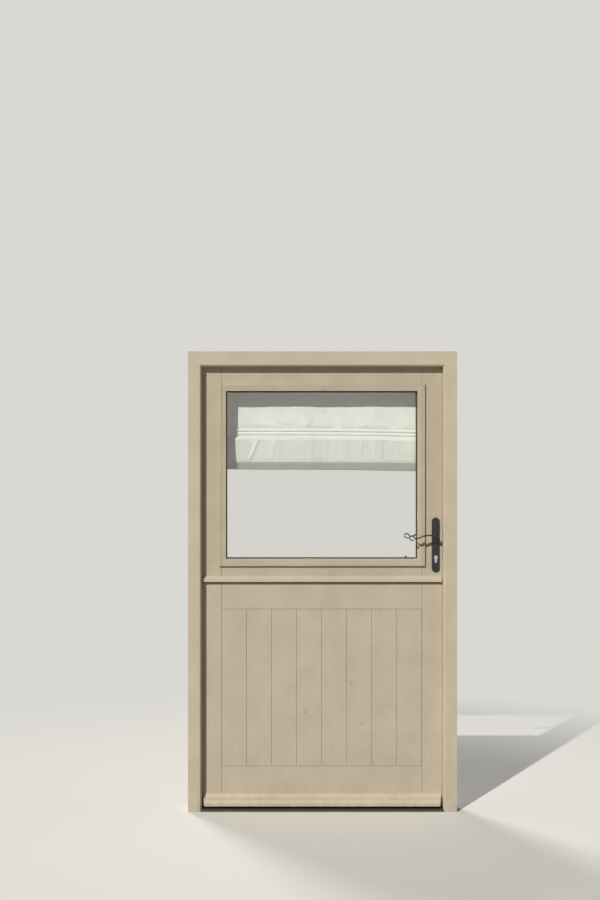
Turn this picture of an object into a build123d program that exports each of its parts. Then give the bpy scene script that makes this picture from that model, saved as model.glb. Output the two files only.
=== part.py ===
from build123d import *
import os

# A stable door: two leaves, one above the other, that swing inwards in a rebated timber frame.
# X runs to the right seen from outside, Y runs from outside to inside, and Z runs up.
# The origin is on the floor, under the middle of the threshold. All sizes are in millimetres.

# Frame
frame_width = 1184
frame_height = 2026
frame_depth = 100
frame_face = 59
head_face = 66
rebate_width = 12
frame_arris = 7

# Leaves and the gaps round them
leaf_thickness = 56
leaf_gap = 3
seal_gap = 4
split_height = 1003
stile_width = 98
top_rail_height = 96
meeting_rail_height = 84
lower_top_rail_height = 116
bottom_rail_height = 176
leaf_arris = 1.5
joint_arris = 1
tenon_thickness = 18
tenon_length = 42
tenon_shoulder = 10
tenon_ease = 0.2

# Threshold, an extruded strip
threshold_height = 12
threshold_nose = 9
upstand_height = 7
upstand_width = 4
threshold_wall = 2.5
bottom_gap = 4

# Boards and lining of the lower leaf
board_count = 8
board_thickness = 20
board_arris = 2
board_gap = 0.4
tongue_length = 7
tongue_thickness = 6
tongue_ease = 0.2
tongue_room = 0.6
lining_thickness = 12
panel_ease = 0.3

# Double glazing and its beads
glass_pane = 4
glass_cavity = 16
glass_edge_room = 4
glass_ease = 0.3
spacer_width = 12
glazing_lip_width = 12
glazing_lip_depth = 17
bead_width = 32
bead_overlap = 12
bead_proud = 9
bead_round = 5.5
bead_fillet = 3
bead_quirk = 2.2
bead_nose = 1.5
bead_drop = 7
bead_ease = 0.4

# Drip bar and weatherboard
bar_side_gap = 4
drip_proud = 18
drip_height = 26
drip_lift = 2
drip_nose = 12
weather_proud = 40
weather_height = 53
weather_lift = 3
weather_splay = 10
weather_fillet = 4
weather_hollow_radius = 20
weather_turn_out = 20
weather_turn_drop = 23
weather_nose = 11
throat_width = 4
throat_depth = 3

# Hinges
hinge_length = 100
hinge_inset = 150
hinge_width = 32
hinge_plate = 2.4
hinge_plate_gap = 0.6
hinge_recess_ease = 0.3
knuckle_radius = 5.5
knuckle_count = 5
knuckle_gap = 0.3
knuckle_stand = 0.5
pin_radius = 3
pin_ease = 0.08
pin_head_radius = 4.6
pin_head_height = 3

# Screws
screw_head_radius = 4
screw_head_depth = 2.2
screw_head_edge = 0.4
screw_radius = 2
screw_length = 22
screw_ease = 0.1
screw_hole_rise = 1
hinge_screw_spacing = 36
hinge_screw_stagger = 6

# Lock case, cylinder and backplates
backset = 38
lever_above_joint = 203
lever_to_cylinder = 92
case_depth = 50
case_thickness = 15
case_above_lever = 80
case_below_cylinder = 39
case_ease = 0.3
faceplate_thickness = 3
faceplate_width = 20
faceplate_overhang = 18
faceplate_screw_inset = 8
plate_width = 34
plate_length = 242
plate_thickness = 7
plate_edge = 2
plate_above_lever = 84
plate_screw_inset = 22
barrel_radius = 8.5
cylinder_height = 33
cylinder_tail_width = 10
cylinder_proud = 3
cylinder_ease = 0.3
cylinder_room = 1
plug_radius = 6.8
plug_ease = 0.05
keyway_width = 2
keyway_height = 9
keyway_depth = 4
cam_radius = 15
cam_width = 8
cam_thickness = 9.4
cam_gap = 10
cam_room = 1

# Bolts of the lock and their keep
bolt_ease = 0.3
latch_above_lever = 36
latch_height = 14
latch_width = 10
latch_length = 40
latch_reach = 11
latch_travel = 12
latch_bevel = 7
dead_below_lever = 44
dead_height = 20
dead_width = 9
dead_length = 38
dead_inset = 1
dead_travel = 20
keep_thickness = 2
keep_width = 24
keep_overhang = 20
keep_hole_ease = 2
keep_screw_inset = 8

# Lever handle with a curled tail
lever_standoff = 56
neck_radius = 7
neck_waist = 5.6
boss_radius = 10.5
boss_length = 6
boss_gap = 0.3
bearing_radius = 9
bearing_ease = 0.1
spindle_side = 8
spindle_ease = 0.1
follower_radius = 6.2
spindle_room = 0.5
socket_depth = 24
lever_root_radius = 4.6
lever_tip_radius = 2.6

# Points on the lever's middle line: distance from the neck, height above it
lever_crest = (30, 7.5)
lever_fall = (62, -2.4)
curl_foot = (96, -14)
curl_front = (111, -4)
curl_crest = (104.5, 4.5)
curl_end = (99.5, -2)

# Tower bolts on the inside
rod_radius = 5
rod_ease = 0.2
rod_lift = 1
rod_plate_thickness = 2
rod_plate_width = 34
staple_wall = 2.5
staple_length = 10
staple_inset = 3
rod_plate_length = 78
rod_screw_inset = 24
bolt_keep_length = 26
keep_staple_length = 16
knob_radius = 5
knob_height = 12
bolt_travel = 30
rod_setback = 5
rod_plate_setback = 4
bolt_keep_setback = 7
coupling_inset = 64
lower_bolt_drop = 383

# Roman blind
blind_width = 880
headrail_height = 40
headrail_depth = 28
headrail_below_top = 43
blind_cloth = 3
blind_length = 421
pleat_drop = 245
pleat_pitch = 19
pleat_count = 2
pleat_radius = 8
blind_bulge = 18

# Seals
seal_width = 8
seal_ease = 0.3
leaf_seal_inset = 12

# Hook on the top bead
hook_x = 3.5
hook_wire_radius = 1.2
hook_bend_radius = 3.5
hook_height = 12
hook_shank = 8
hook_tip = 2

# Holes for fixing the frame to the wall
fixing_radius = 5
fixing_head_radius = 9
fixing_head_depth = 6
fixing_y = 24
fixing_heights = (280, 700, 1400, 1720)

# Places worked out from the sizes above
frame_half = frame_width / 2
front = -frame_depth / 2
back = frame_depth / 2
stop_half = frame_half - frame_face
rebate_half = stop_half + rebate_width
leaf_half = rebate_half - leaf_gap
rail_half = leaf_half - stile_width
head_stop = frame_height - head_face
head_rebate = head_stop + rebate_width
leaf_top = head_rebate - leaf_gap
leaf_bottom = threshold_height + bottom_gap
upper_bottom = split_height + leaf_gap
lever_height = upper_bottom + lever_above_joint
leaf_front = back - leaf_thickness
leaf_middle = (leaf_front + back) / 2
stop_back = leaf_front - seal_gap
top_rail_bottom = leaf_top - top_rail_height
meeting_rail_top = upper_bottom + meeting_rail_height
panel_top = split_height - lower_top_rail_height
panel_bottom = leaf_bottom + bottom_rail_height
board_back = leaf_front + board_thickness
tongue_front = leaf_front + (board_thickness - tongue_thickness) / 2
tongue_back = tongue_front + tongue_thickness
board_pitch = 2 * rail_half / board_count
lip_y = back - glazing_lip_depth
glass_half = rail_half - glass_edge_room
glass_top = top_rail_bottom - glass_edge_room
glass_bottom = meeting_rail_top + glass_edge_room
glass_back = lip_y - glass_ease
glass_front = glass_back - 2 * glass_pane - glass_cavity
bead_back = glass_front - glass_ease
sight_half = rail_half + bead_overlap - bead_width
sight_top = top_rail_bottom + bead_overlap - bead_width
sight_bottom = meeting_rail_top - bead_overlap + bead_width
bar_half = stop_half - bar_side_gap
hinge_x = -(leaf_half + rebate_half) / 2
hinge_y = back + knuckle_radius + knuckle_stand
upper_hinges = (leaf_top - hinge_inset, upper_bottom + hinge_inset)
lower_hinges = (split_height - hinge_inset, leaf_bottom + hinge_inset)
lever_x = leaf_half - backset
cylinder_z = lever_height - lever_to_cylinder
case_top = lever_height + case_above_lever
case_bottom = cylinder_z - case_below_cylinder
case_edge = leaf_half - faceplate_thickness
latch_z = lever_height + latch_above_lever
dead_z = lever_height - dead_below_lever
dead_tip = leaf_half - dead_inset
latch_tip = leaf_half + latch_reach
keep_bottom = dead_z - dead_height / 2 - keep_overhang
keep_top = latch_z + latch_height / 2 + keep_overhang
plate_z = lever_height + plate_above_lever - plate_length / 2
plate_front = leaf_front - plate_thickness
plate_back = back + plate_thickness
rod_y = back + rod_plate_thickness + rod_lift + rod_radius
coupling_x = rail_half - coupling_inset
lower_bolt_height = split_height - lower_bolt_drop
staple_half = rod_radius + rod_ease + staple_wall
rod_screw_side = (staple_half + rod_plate_width / 2) / 2
coupling_plate_z = upper_bottom + rod_plate_setback
lower_plate_x = leaf_half - rod_plate_setback
headrail_top = leaf_top - headrail_below_top
pleat_height = headrail_top - pleat_drop
blind_bottom = headrail_top - blind_length


def block(x_range, y_range, z_range, mode=Mode.SUBTRACT):
    """Cuts or adds a straight block that fills the three ranges."""
    ranges = (x_range, y_range, z_range)
    middle = tuple((low + high) / 2 for low, high in ranges)
    size = tuple(abs(high - low) for low, high in ranges)
    with Locations(middle):
        Box(*size, mode=mode)


def countersunk(ease, rise):
    """A countersunk screw along -Z with its face at the origin. Ease and rise turn it into its hole."""
    with BuildPart() as screw:
        with BuildSketch(Plane.XZ):
            with BuildLine():
                Polyline(
                    (0, rise),
                    (screw_head_radius + ease, rise),
                    (screw_head_radius + ease, -screw_head_edge),
                    (screw_radius + ease, -screw_head_depth),
                    (screw_radius + ease, -screw_length - ease),
                    (0, -screw_length - ease),
                    close=True,
                )
            make_face()
        revolve(axis=Axis.Z)
    return screw.part


wood_screw = countersunk(0, 0)
screw_hole = countersunk(screw_ease, screw_hole_rise)


def facing(x, y, z, direction):
    """A plane at a screw's head, with its normal pointing the way the head faces."""
    return Plane(origin=(x, y, z), z_dir=direction)


# Screws: where each head sits and which way it faces
def hinge_screws(heights, side):
    """Three staggered screws in each hinge plate. Side is -1 for the frame and 1 for the leaf."""
    face_x = hinge_x + side * hinge_plate_gap / 2
    middle_y = back - hinge_width / 2
    places = []
    for height in heights:
        for step in (-1, 0, 1):
            y = middle_y + hinge_screw_stagger * (1 if step == 0 else -1)
            places.append(facing(face_x, y, height + step * hinge_screw_spacing, (-side, 0, 0)))
    return places


keep_screws = [
    facing(rebate_half, leaf_middle, keep_bottom + keep_screw_inset, (-1, 0, 0)),
    facing(rebate_half, leaf_middle, keep_top - keep_screw_inset, (-1, 0, 0)),
]
lock_screws = [
    facing(leaf_half, leaf_middle, case_bottom - faceplate_overhang + faceplate_screw_inset, (1, 0, 0)),
    facing(leaf_half, leaf_middle, case_top + faceplate_overhang - faceplate_screw_inset, (1, 0, 0)),
    facing(lever_x, plate_back, plate_z - plate_length / 2 + plate_screw_inset, (0, 1, 0)),
    facing(lever_x, plate_back, plate_z + plate_length / 2 - plate_screw_inset, (0, 1, 0)),
]
rod_face = back + rod_plate_thickness
rod_screw_heights = (rod_screw_inset, rod_plate_length - rod_screw_inset)
coupling_plate_screws = [
    facing(coupling_x + side * rod_screw_side, rod_face, coupling_plate_z + height, (0, 1, 0))
    for side in (-1, 1)
    for height in rod_screw_heights
]
lower_plate_screws = [
    facing(lower_plate_x - height, rod_face, lower_bolt_height + side * rod_screw_side, (0, 1, 0))
    for side in (-1, 1)
    for height in rod_screw_heights
]
coupling_keep_z = split_height - bolt_keep_setback - bolt_keep_length / 2
coupling_keep_screws = [
    facing(coupling_x + side * rod_screw_side, rod_face, coupling_keep_z, (0, 1, 0)) for side in (-1, 1)
]
jamb_keep_x = rebate_half + bolt_keep_setback + bolt_keep_length / 2
jamb_keep_screws = [
    facing(jamb_keep_x, rod_face, lower_bolt_height + side * rod_screw_side, (0, 1, 0)) for side in (-1, 1)
]
frame_screw_places = hinge_screws(upper_hinges + lower_hinges, -1) + keep_screws + jamb_keep_screws
upper_screw_places = hinge_screws(upper_hinges, 1) + lock_screws + coupling_plate_screws
lower_screw_places = hinge_screws(lower_hinges, 1) + lower_plate_screws + coupling_keep_screws


def cut_screw_holes(places):
    """Cuts the holes of the given screws out of the part being built."""
    with Locations(*places):
        add(screw_hole, mode=Mode.SUBTRACT)


def doorway_bevel(half, top, face, size):
    """A flared plug that bevels the doorway's edge on the face at y, mitred at the corners."""
    outwards = -1 if face < 0 else 1
    middle = (0, face - outwards * size, (top - frame_height) / 2)
    with BuildPart() as plug:
        with BuildSketch(Plane(origin=middle, x_dir=(1, 0, 0), z_dir=(0, outwards, 0))):
            Rectangle(2 * half, top + frame_height)
        extrude(amount=size, taper=-45)
    return plug.part


outer_bevel = doorway_bevel(stop_half, head_stop, front, frame_arris)
inner_bevel = doorway_bevel(rebate_half, head_rebate, back, leaf_arris)


# Jambs: the stop is thicker than the rebate, and the head laps over the stop
def jamb_blank(side):
    """A rebated jamb up to the head. Side is -1 for the hinges and 1 for the lock."""
    with BuildPart() as blank:
        with BuildSketch():
            with BuildLine():
                Polyline(
                    (side * stop_half, front),
                    (side * frame_half, front),
                    (side * frame_half, back),
                    (side * rebate_half, back),
                    (side * rebate_half, stop_back),
                    (side * stop_half, stop_back),
                    close=True,
                )
            make_face()
        extrude(amount=head_rebate)
        block((side * stop_half, side * frame_half), (front, stop_back), (head_stop, head_rebate))
        add([outer_bevel, inner_bevel], mode=Mode.SUBTRACT)
        # A fine bevel shows the joint with the head
        joint_edge = blank.faces().filter_by(Plane.XZ).sort_by(Axis.Y)[0].edges().sort_by(Axis.Z)[-1]
        chamfer(joint_edge, length=joint_arris)
        for height in fixing_heights:
            bore = Plane(origin=(side * frame_half, fixing_y, height), z_dir=(-side, 0, 0))
            with BuildSketch(bore):
                Circle(fixing_radius)
            extrude(amount=frame_face, mode=Mode.SUBTRACT)
            with BuildSketch(bore.offset(frame_half - rebate_half - fixing_head_depth)):
                Circle(fixing_head_radius)
            extrude(amount=fixing_head_depth, mode=Mode.SUBTRACT)
    return blank.part


def cut_hinge_recesses(heights, side):
    """Lets the hinge plates into the jamb (side -1) or the stile (side 1)."""
    near = hinge_x + side * hinge_plate_gap / 2
    half = hinge_length / 2 + hinge_recess_ease
    for height in heights:
        block(
            (near, near + side * hinge_plate),
            (back - hinge_width - hinge_recess_ease, back + knuckle_stand),
            (height - half, height + half),
        )


with BuildPart() as jamb_hinge_side:
    add(jamb_blank(-1))
    cut_hinge_recesses(upper_hinges + lower_hinges, -1)
    cut_screw_holes(hinge_screws(upper_hinges + lower_hinges, -1))

with BuildPart() as jamb_lock_side:
    add(jamb_blank(1))
    # The keep is let in flush, with a pocket behind it for each bolt
    keep_y = (leaf_middle - keep_width / 2, leaf_middle + keep_width / 2)
    block((rebate_half - leaf_gap, rebate_half + keep_thickness), keep_y, (keep_bottom, keep_top))
    for z, height, width, tip in (
        (latch_z, latch_height, latch_width, latch_tip),
        (dead_z, dead_height, dead_width, dead_tip + dead_travel),
    ):
        block(
            (rebate_half, tip + keep_hole_ease),
            (leaf_middle - width / 2 - keep_hole_ease, leaf_middle + width / 2 + keep_hole_ease),
            (z - height / 2 - keep_hole_ease, z + height / 2 + keep_hole_ease),
        )
    cut_screw_holes(keep_screws + jamb_keep_screws)

# The head has the jambs' section turned on its side and runs over both jambs
with BuildPart() as frame_head:
    with BuildSketch(Plane.YZ.offset(-frame_half)):
        with BuildLine():
            Polyline(
                (front, head_stop),
                (stop_back, head_stop),
                (stop_back, head_rebate),
                (back, head_rebate),
                (back, frame_height),
                (front, frame_height),
                close=True,
            )
        make_face()
    extrude(amount=frame_width)
    add([outer_bevel, inner_bevel], mode=Mode.SUBTRACT)

# The threshold is a hollow extrusion with a sloped nose, an upstand and a flat tread
with BuildPart() as threshold:
    upstand_back = stop_back
    upstand_front = stop_back - upstand_width
    with BuildSketch(Plane.YZ.offset(-rebate_half)):
        with BuildLine():
            Polyline(
                (front, 0),
                (back, 0),
                (back, threshold_height),
                (upstand_back, threshold_height),
                (upstand_back, threshold_height + upstand_height),
                (upstand_front, threshold_height + upstand_height),
                (upstand_front, threshold_height),
                (front, threshold_nose),
                close=True,
            )
        make_face()
        # Three hollow chambers between the webs
        chamber_top = threshold_nose - threshold_wall
        webs = (front, upstand_front, (upstand_back + back) / 2, back)
        for left, right in zip(webs, webs[1:]):
            middle = ((left + right) / 2, (threshold_wall + chamber_top) / 2)
            with Locations(middle):
                Rectangle(
                    right - left - 2 * threshold_wall,
                    chamber_top - threshold_wall,
                    mode=Mode.SUBTRACT,
                )
    extrude(amount=2 * rebate_half)
    for side in (-1, 1):
        notch_z = (0, threshold_height + upstand_height)
        block((side * stop_half, side * rebate_half), (front, stop_back), notch_z)


# Seals: strips with a rounded face that a shut leaf presses
def seal_strip(plane, length, height):
    """A rounded strip on a plane whose x runs across it and whose y points at the leaf."""
    with BuildPart() as strip:
        with BuildSketch(plane):
            with BuildLine():
                half = seal_width / 2
                edge = height / 3
                Polyline((-half, edge), (-half, 0), (half, 0), (half, edge))
                ThreePointArc((half, edge), (0, height), (-half, edge))
            make_face()
        extrude(amount=length)
    return strip.part


with BuildPart() as frame_seal:
    seal_x = (stop_half + rebate_half) / 2
    seal_height = seal_gap - seal_ease
    head_seal_z = (head_stop + head_rebate) / 2
    jamb_seal_length = head_seal_z - seal_width / 2 - seal_ease - threshold_height
    for side in (-1, 1):
        foot = Plane(
            origin=(side * seal_x, stop_back, threshold_height), x_dir=(1, 0, 0), z_dir=(0, 0, 1)
        )
        add(seal_strip(foot, jamb_seal_length, seal_height))
    head_end = Plane(origin=(rebate_half, stop_back, head_seal_z), x_dir=(0, 0, 1), z_dir=(-1, 0, 0))
    add(seal_strip(head_end, 2 * rebate_half, seal_height))

with BuildPart() as lower_leaf_seals:
    seal_length = 2 * (leaf_half - leaf_seal_inset)
    for z, turn, gap in ((split_height, 1, leaf_gap), (leaf_bottom, -1, bottom_gap)):
        end = Plane(
            origin=(-turn * seal_length / 2, leaf_middle, z), x_dir=(0, 1, 0), z_dir=(turn, 0, 0)
        )
        add(seal_strip(end, seal_length, gap - seal_ease))


# Hinges: plates let into jamb and stile, with five knuckles round a loose pin
def hinge_leaves(heights, side):
    """The plates of one side with their own knuckles. Side is -1 for the frame and 1 for the leaf."""
    pitch = hinge_length / knuckle_count
    plate_x = hinge_x + side * (hinge_plate_gap + hinge_plate) / 2
    plate_end = hinge_y - knuckle_radius - knuckle_gap
    neck_end = hinge_y - pin_radius - pin_ease - knuckle_gap
    own = range(0 if side < 0 else 1, knuckle_count, 2)
    with BuildPart() as leaves:
        for height in heights:
            foot = height - hinge_length / 2
            with BuildSketch(Plane.XY.offset(foot)):
                with Locations((plate_x, (back - hinge_width + plate_end) / 2)):
                    Rectangle(hinge_plate, plate_end - back + hinge_width)
            extrude(amount=hinge_length)
            for index in own:
                with BuildSketch(Plane.XY.offset(foot + index * pitch + knuckle_gap / 2)):
                    with Locations((hinge_x, hinge_y)):
                        Circle(knuckle_radius)
                        Circle(pin_radius + pin_ease, mode=Mode.SUBTRACT)
                    with Locations((plate_x, (plate_end + neck_end) / 2)):
                        Rectangle(hinge_plate, neck_end - plate_end)
                extrude(amount=pitch - knuckle_gap)
        cut_screw_holes(hinge_screws(heights, side))
    return leaves


hinge_frame_leaves = hinge_leaves(upper_hinges + lower_hinges, -1)
upper_hinge_leaves = hinge_leaves(upper_hinges, 1)
lower_hinge_leaves = hinge_leaves(lower_hinges, 1)

with BuildPart() as hinge_pins:
    reach = hinge_length / 2 - knuckle_gap / 2
    for height in upper_hinges + lower_hinges:
        with Locations((hinge_x, hinge_y, height)):
            Cylinder(pin_radius, 2 * reach)
        for side in (-1, 1):
            with Locations((hinge_x, hinge_y, height + side * (reach + pin_head_height / 2))):
                Cylinder(pin_head_radius, pin_head_height)
    chamfer(hinge_pins.edges().filter_by(GeomType.CIRCLE).filter_by(
        lambda edge: abs(edge.radius - pin_head_radius) < pin_ease), length=pin_head_height / 3)


# Lock outline shared by the cylinder, its backplates and its holes
def cylinder_outline(ease, y):
    """The keyhole-shaped outline of the cylinder on the plane at y, larger by the ease all round."""
    tail_length = cylinder_height - barrel_radius - cylinder_tail_width / 2
    with BuildSketch(Plane.XZ.offset(-y)) as outline:
        with Locations((lever_x, cylinder_z)):
            Circle(barrel_radius + ease)
        with Locations((lever_x, cylinder_z - tail_length / 2)):
            Rectangle(cylinder_tail_width + 2 * ease, tail_length)
        with Locations((lever_x, cylinder_z - tail_length)):
            Circle(cylinder_tail_width / 2 + ease)
    return outline.sketch


def through_leaf(profile):
    """Cuts an outline on the outer plate's plane through everything behind it."""
    extrude(profile, amount=2 * frame_depth, dir=(0, 1, 0), mode=Mode.SUBTRACT)


def cut_lock_mortise():
    """Cuts the mortise for the lock, and the holes for spindle and cylinder, out of the stile."""
    block(
        (case_edge - case_depth - case_ease, leaf_half + leaf_gap),
        (leaf_middle - case_thickness / 2 - case_ease, leaf_middle + case_thickness / 2 + case_ease),
        (case_bottom - case_ease, case_top + case_ease),
    )
    block(
        (case_edge, leaf_half + leaf_gap),
        (leaf_middle - faceplate_width / 2, leaf_middle + faceplate_width / 2),
        (case_bottom - faceplate_overhang, case_top + faceplate_overhang),
    )
    with BuildSketch(Plane.XZ.offset(-plate_front)) as spindle_hole:
        with Locations((lever_x, lever_height)):
            Circle(bearing_radius)
    through_leaf(spindle_hole.sketch)
    through_leaf(cylinder_outline(cylinder_room, plate_front))


def leaf_envelope(low, high):
    """The block that a leaf fills between two heights, with an arris on each of its edges."""
    with BuildPart() as envelope:
        block((-leaf_half, leaf_half), (leaf_front, back), (low, high), mode=Mode.ADD)
        chamfer(envelope.edges(), length=leaf_arris)
    return envelope.part


upper_envelope = leaf_envelope(upper_bottom, leaf_top)
lower_envelope = leaf_envelope(leaf_bottom, split_height)


# Upper leaf: stiles and rails are tenoned together, with a lip on the inside that holds the glass
def upper_stile(side):
    """A full-height stile with its glazing lip and the mortises of both rails."""
    lip_half = rail_half - glazing_lip_width
    with BuildPart() as stile:
        with BuildSketch(Plane.XY.offset(upper_bottom)):
            with BuildLine():
                Polyline(
                    (side * leaf_half, leaf_front),
                    (side * leaf_half, back),
                    (side * lip_half, back),
                    (side * lip_half, lip_y),
                    (side * rail_half, lip_y),
                    (side * rail_half, leaf_front + joint_arris),
                    (side * (rail_half + joint_arris), leaf_front),
                    close=True,
                )
            make_face()
        extrude(amount=leaf_top - upper_bottom)
        for low, high in ((upper_bottom, meeting_rail_top), (top_rail_bottom, leaf_top)):
            cut_mortise(side, low, high)
        add(upper_envelope, mode=Mode.INTERSECT)
    return stile.part


def cut_mortise(side, low, high):
    """Cuts the mortise for the tenon of a rail that runs between two heights."""
    block(
        (side * rail_half, side * (rail_half + tenon_length + tenon_ease)),
        (leaf_middle - tenon_thickness / 2 - tenon_ease, leaf_middle + tenon_thickness / 2 + tenon_ease),
        (low + tenon_shoulder - tenon_ease, high - tenon_shoulder + tenon_ease),
    )


def add_tenons(low, high):
    """Adds the tenons at both ends of a rail that runs between two heights."""
    for side in (-1, 1):
        block(
            (side * rail_half, side * (rail_half + tenon_length)),
            (leaf_middle - tenon_thickness / 2, leaf_middle + tenon_thickness / 2),
            (low + tenon_shoulder, high - tenon_shoulder),
            mode=Mode.ADD,
        )


def glazed_rail(low, high, glass_side):
    """A rail of the upper leaf. Glass_side is 1 if the glass is above the rail and -1 if it is below."""
    glass_edge, far_edge = (high, low) if glass_side > 0 else (low, high)
    lip_edge = glass_edge + glass_side * glazing_lip_width
    with BuildPart() as rail:
        with BuildSketch(Plane.YZ.offset(-rail_half)):
            with BuildLine():
                Polyline(
                    (leaf_front + joint_arris, glass_edge),
                    (lip_y, glass_edge),
                    (lip_y, lip_edge),
                    (back, lip_edge),
                    (back, far_edge),
                    (leaf_front, far_edge),
                    (leaf_front, glass_edge - glass_side * joint_arris),
                    close=True,
                )
            make_face()
        extrude(amount=2 * rail_half)
        # The ends are cut back to fit over the lips of the stiles
        for side in (-1, 1):
            lip_z = (min(low, lip_edge), max(high, lip_edge))
            block((side * (rail_half - glazing_lip_width), side * rail_half), (lip_y, back), lip_z)
        add_tenons(low, high)
        add(upper_envelope, mode=Mode.INTERSECT)
    return rail.part


with BuildPart() as upper_stile_hinge_side:
    add(upper_stile(-1))
    cut_hinge_recesses(upper_hinges, 1)
    cut_screw_holes(hinge_screws(upper_hinges, 1))

with BuildPart() as upper_stile_lock_side:
    add(upper_stile(1))
    cut_lock_mortise()
    cut_screw_holes(lock_screws)

with BuildPart() as upper_top_rail:
    add(glazed_rail(top_rail_bottom, leaf_top, -1))

with BuildPart() as meeting_rail:
    add(glazed_rail(upper_bottom, meeting_rail_top, 1))
    cut_screw_holes(coupling_plate_screws)


# Sealed double glazing: two panes on a spacer bar
def glass_layer(y, thickness, inner_border):
    """A layer of the glazing from y inwards. A border leaves only a ring of that width."""
    with BuildPart() as layer:
        with BuildSketch(Plane.XZ.offset(-y)):
            with Locations((0, (glass_top + glass_bottom) / 2)):
                Rectangle(2 * glass_half, glass_top - glass_bottom)
                if inner_border:
                    Rectangle(
                        2 * (glass_half - inner_border),
                        glass_top - glass_bottom - 2 * inner_border,
                        mode=Mode.SUBTRACT,
                    )
        extrude(amount=-thickness)
    return layer


glass_outer_pane = glass_layer(glass_front, glass_pane, 0)
glass_spacer = glass_layer(glass_front + glass_pane, glass_cavity, spacer_width)
glass_inner_pane = glass_layer(glass_back - glass_pane, glass_pane, 0)


# Raised glazing beads, mitred at the corners: a round outer edge, a quirk and a hollow to the glass
def glazing_bead(out, half_across, half_along):
    """A bead on the side of the glass that out points to."""
    middle = Vector(0, 0, (sight_top + sight_bottom) / 2)
    across = Vector(*out)
    along = across.cross(Vector(0, 1, 0))
    proud = leaf_front - bead_proud
    tail = bead_width - bead_overlap - bead_ease
    round_start = bead_width - bead_round
    fillet_end = round_start - bead_fillet
    hollow_end = (bead_nose, leaf_front - bead_nose)
    with BuildPart() as bead:
        with BuildSketch(Plane(origin=middle + across * half_across, x_dir=across, z_dir=along)):
            with BuildLine():
                Polyline(
                    (0, leaf_front),
                    (0, bead_back),
                    (tail, bead_back),
                    (tail, leaf_front),
                    (bead_width, leaf_front),
                    (bead_width, proud + bead_round),
                )
                RadiusArc((bead_width, proud + bead_round), (round_start, proud), -bead_round)
                Polyline((round_start, proud), (fillet_end, proud), (fillet_end, proud + bead_quirk))
                ThreePointArc(
                    (fillet_end, proud + bead_quirk),
                    ((fillet_end + bead_nose) / 2, proud + (bead_quirk + bead_drop) / 2 + bead_nose),
                    hollow_end,
                )
                Line(hollow_end, (0, leaf_front))
            make_face()
        extrude(amount=half_along + bead_width, both=True)
        for end in (along, along * -1):
            corner = middle + across * half_across + end * half_along
            split(bisect_by=Plane(origin=corner, z_dir=end - across), keep=Keep.BOTTOM)
    return bead


sight_half_height = (sight_top - sight_bottom) / 2
bead_left = glazing_bead((-1, 0, 0), sight_half, sight_half_height)
bead_right = glazing_bead((1, 0, 0), sight_half, sight_half_height)
bead_bottom = glazing_bead((0, 0, -1), sight_half_height, sight_half)

# Small hook for hanging things, screwed into the top bead
with BuildPart() as bead_hook:
    hook_z = sight_top + hook_height
    hook_back = leaf_front + hook_wire_radius
    bend = 2 * hook_wire_radius
    with BuildLine(Plane.YZ.offset(hook_x)) as hook_line:
        shank = Line((hook_back, hook_z), (hook_back - hook_shank, hook_z))
        elbow = TangentArc(shank @ 1, (hook_back - hook_shank - bend, hook_z - bend), tangent=shank % 1)
        bowl = TangentArc(
            elbow @ 1,
            (hook_back - hook_shank - bend - 2 * hook_bend_radius, hook_z - bend),
            tangent=elbow % 1,
        )
        Line(bowl @ 1, bowl @ 1 + Vector(0, 0, hook_tip))
    with BuildSketch(Plane(origin=shank @ 0, z_dir=(0, -1, 0))):
        Circle(hook_wire_radius)
    sweep(path=hook_line.wires()[0])

with BuildPart() as bead_top:
    add(glazing_bead((0, 0, 1), sight_half_height, sight_half).part)
    with BuildSketch(Plane(origin=(hook_x, hook_back, hook_z), z_dir=(0, -1, 0))):
        Circle(hook_wire_radius + pin_ease)
    extrude(amount=hook_shank + bead_proud, mode=Mode.SUBTRACT)

# The drip bar throws water clear of the joint between the leaves
with BuildPart() as drip_bar:
    drip_z = upper_bottom + drip_lift
    nose = leaf_front - drip_proud
    with BuildSketch(Plane.YZ.offset(-bar_half)):
        with BuildLine():
            Polyline(
                (leaf_front, drip_z),
                (leaf_front, drip_z + drip_height),
                (leaf_front - drip_lift, drip_z + drip_height),
                (nose, drip_z + drip_nose),
                (nose, drip_z),
                (nose + throat_width, drip_z),
                (nose + throat_width, drip_z + throat_depth),
                (nose + 2 * throat_width, drip_z + throat_depth),
                (nose + 2 * throat_width, drip_z),
                close=True,
            )
        make_face()
    extrude(amount=2 * bar_half)
    fillet(drip_bar.edges().filter_by(Axis.X).sort_by(Axis.Y)[:2], radius=joint_arris)

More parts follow.
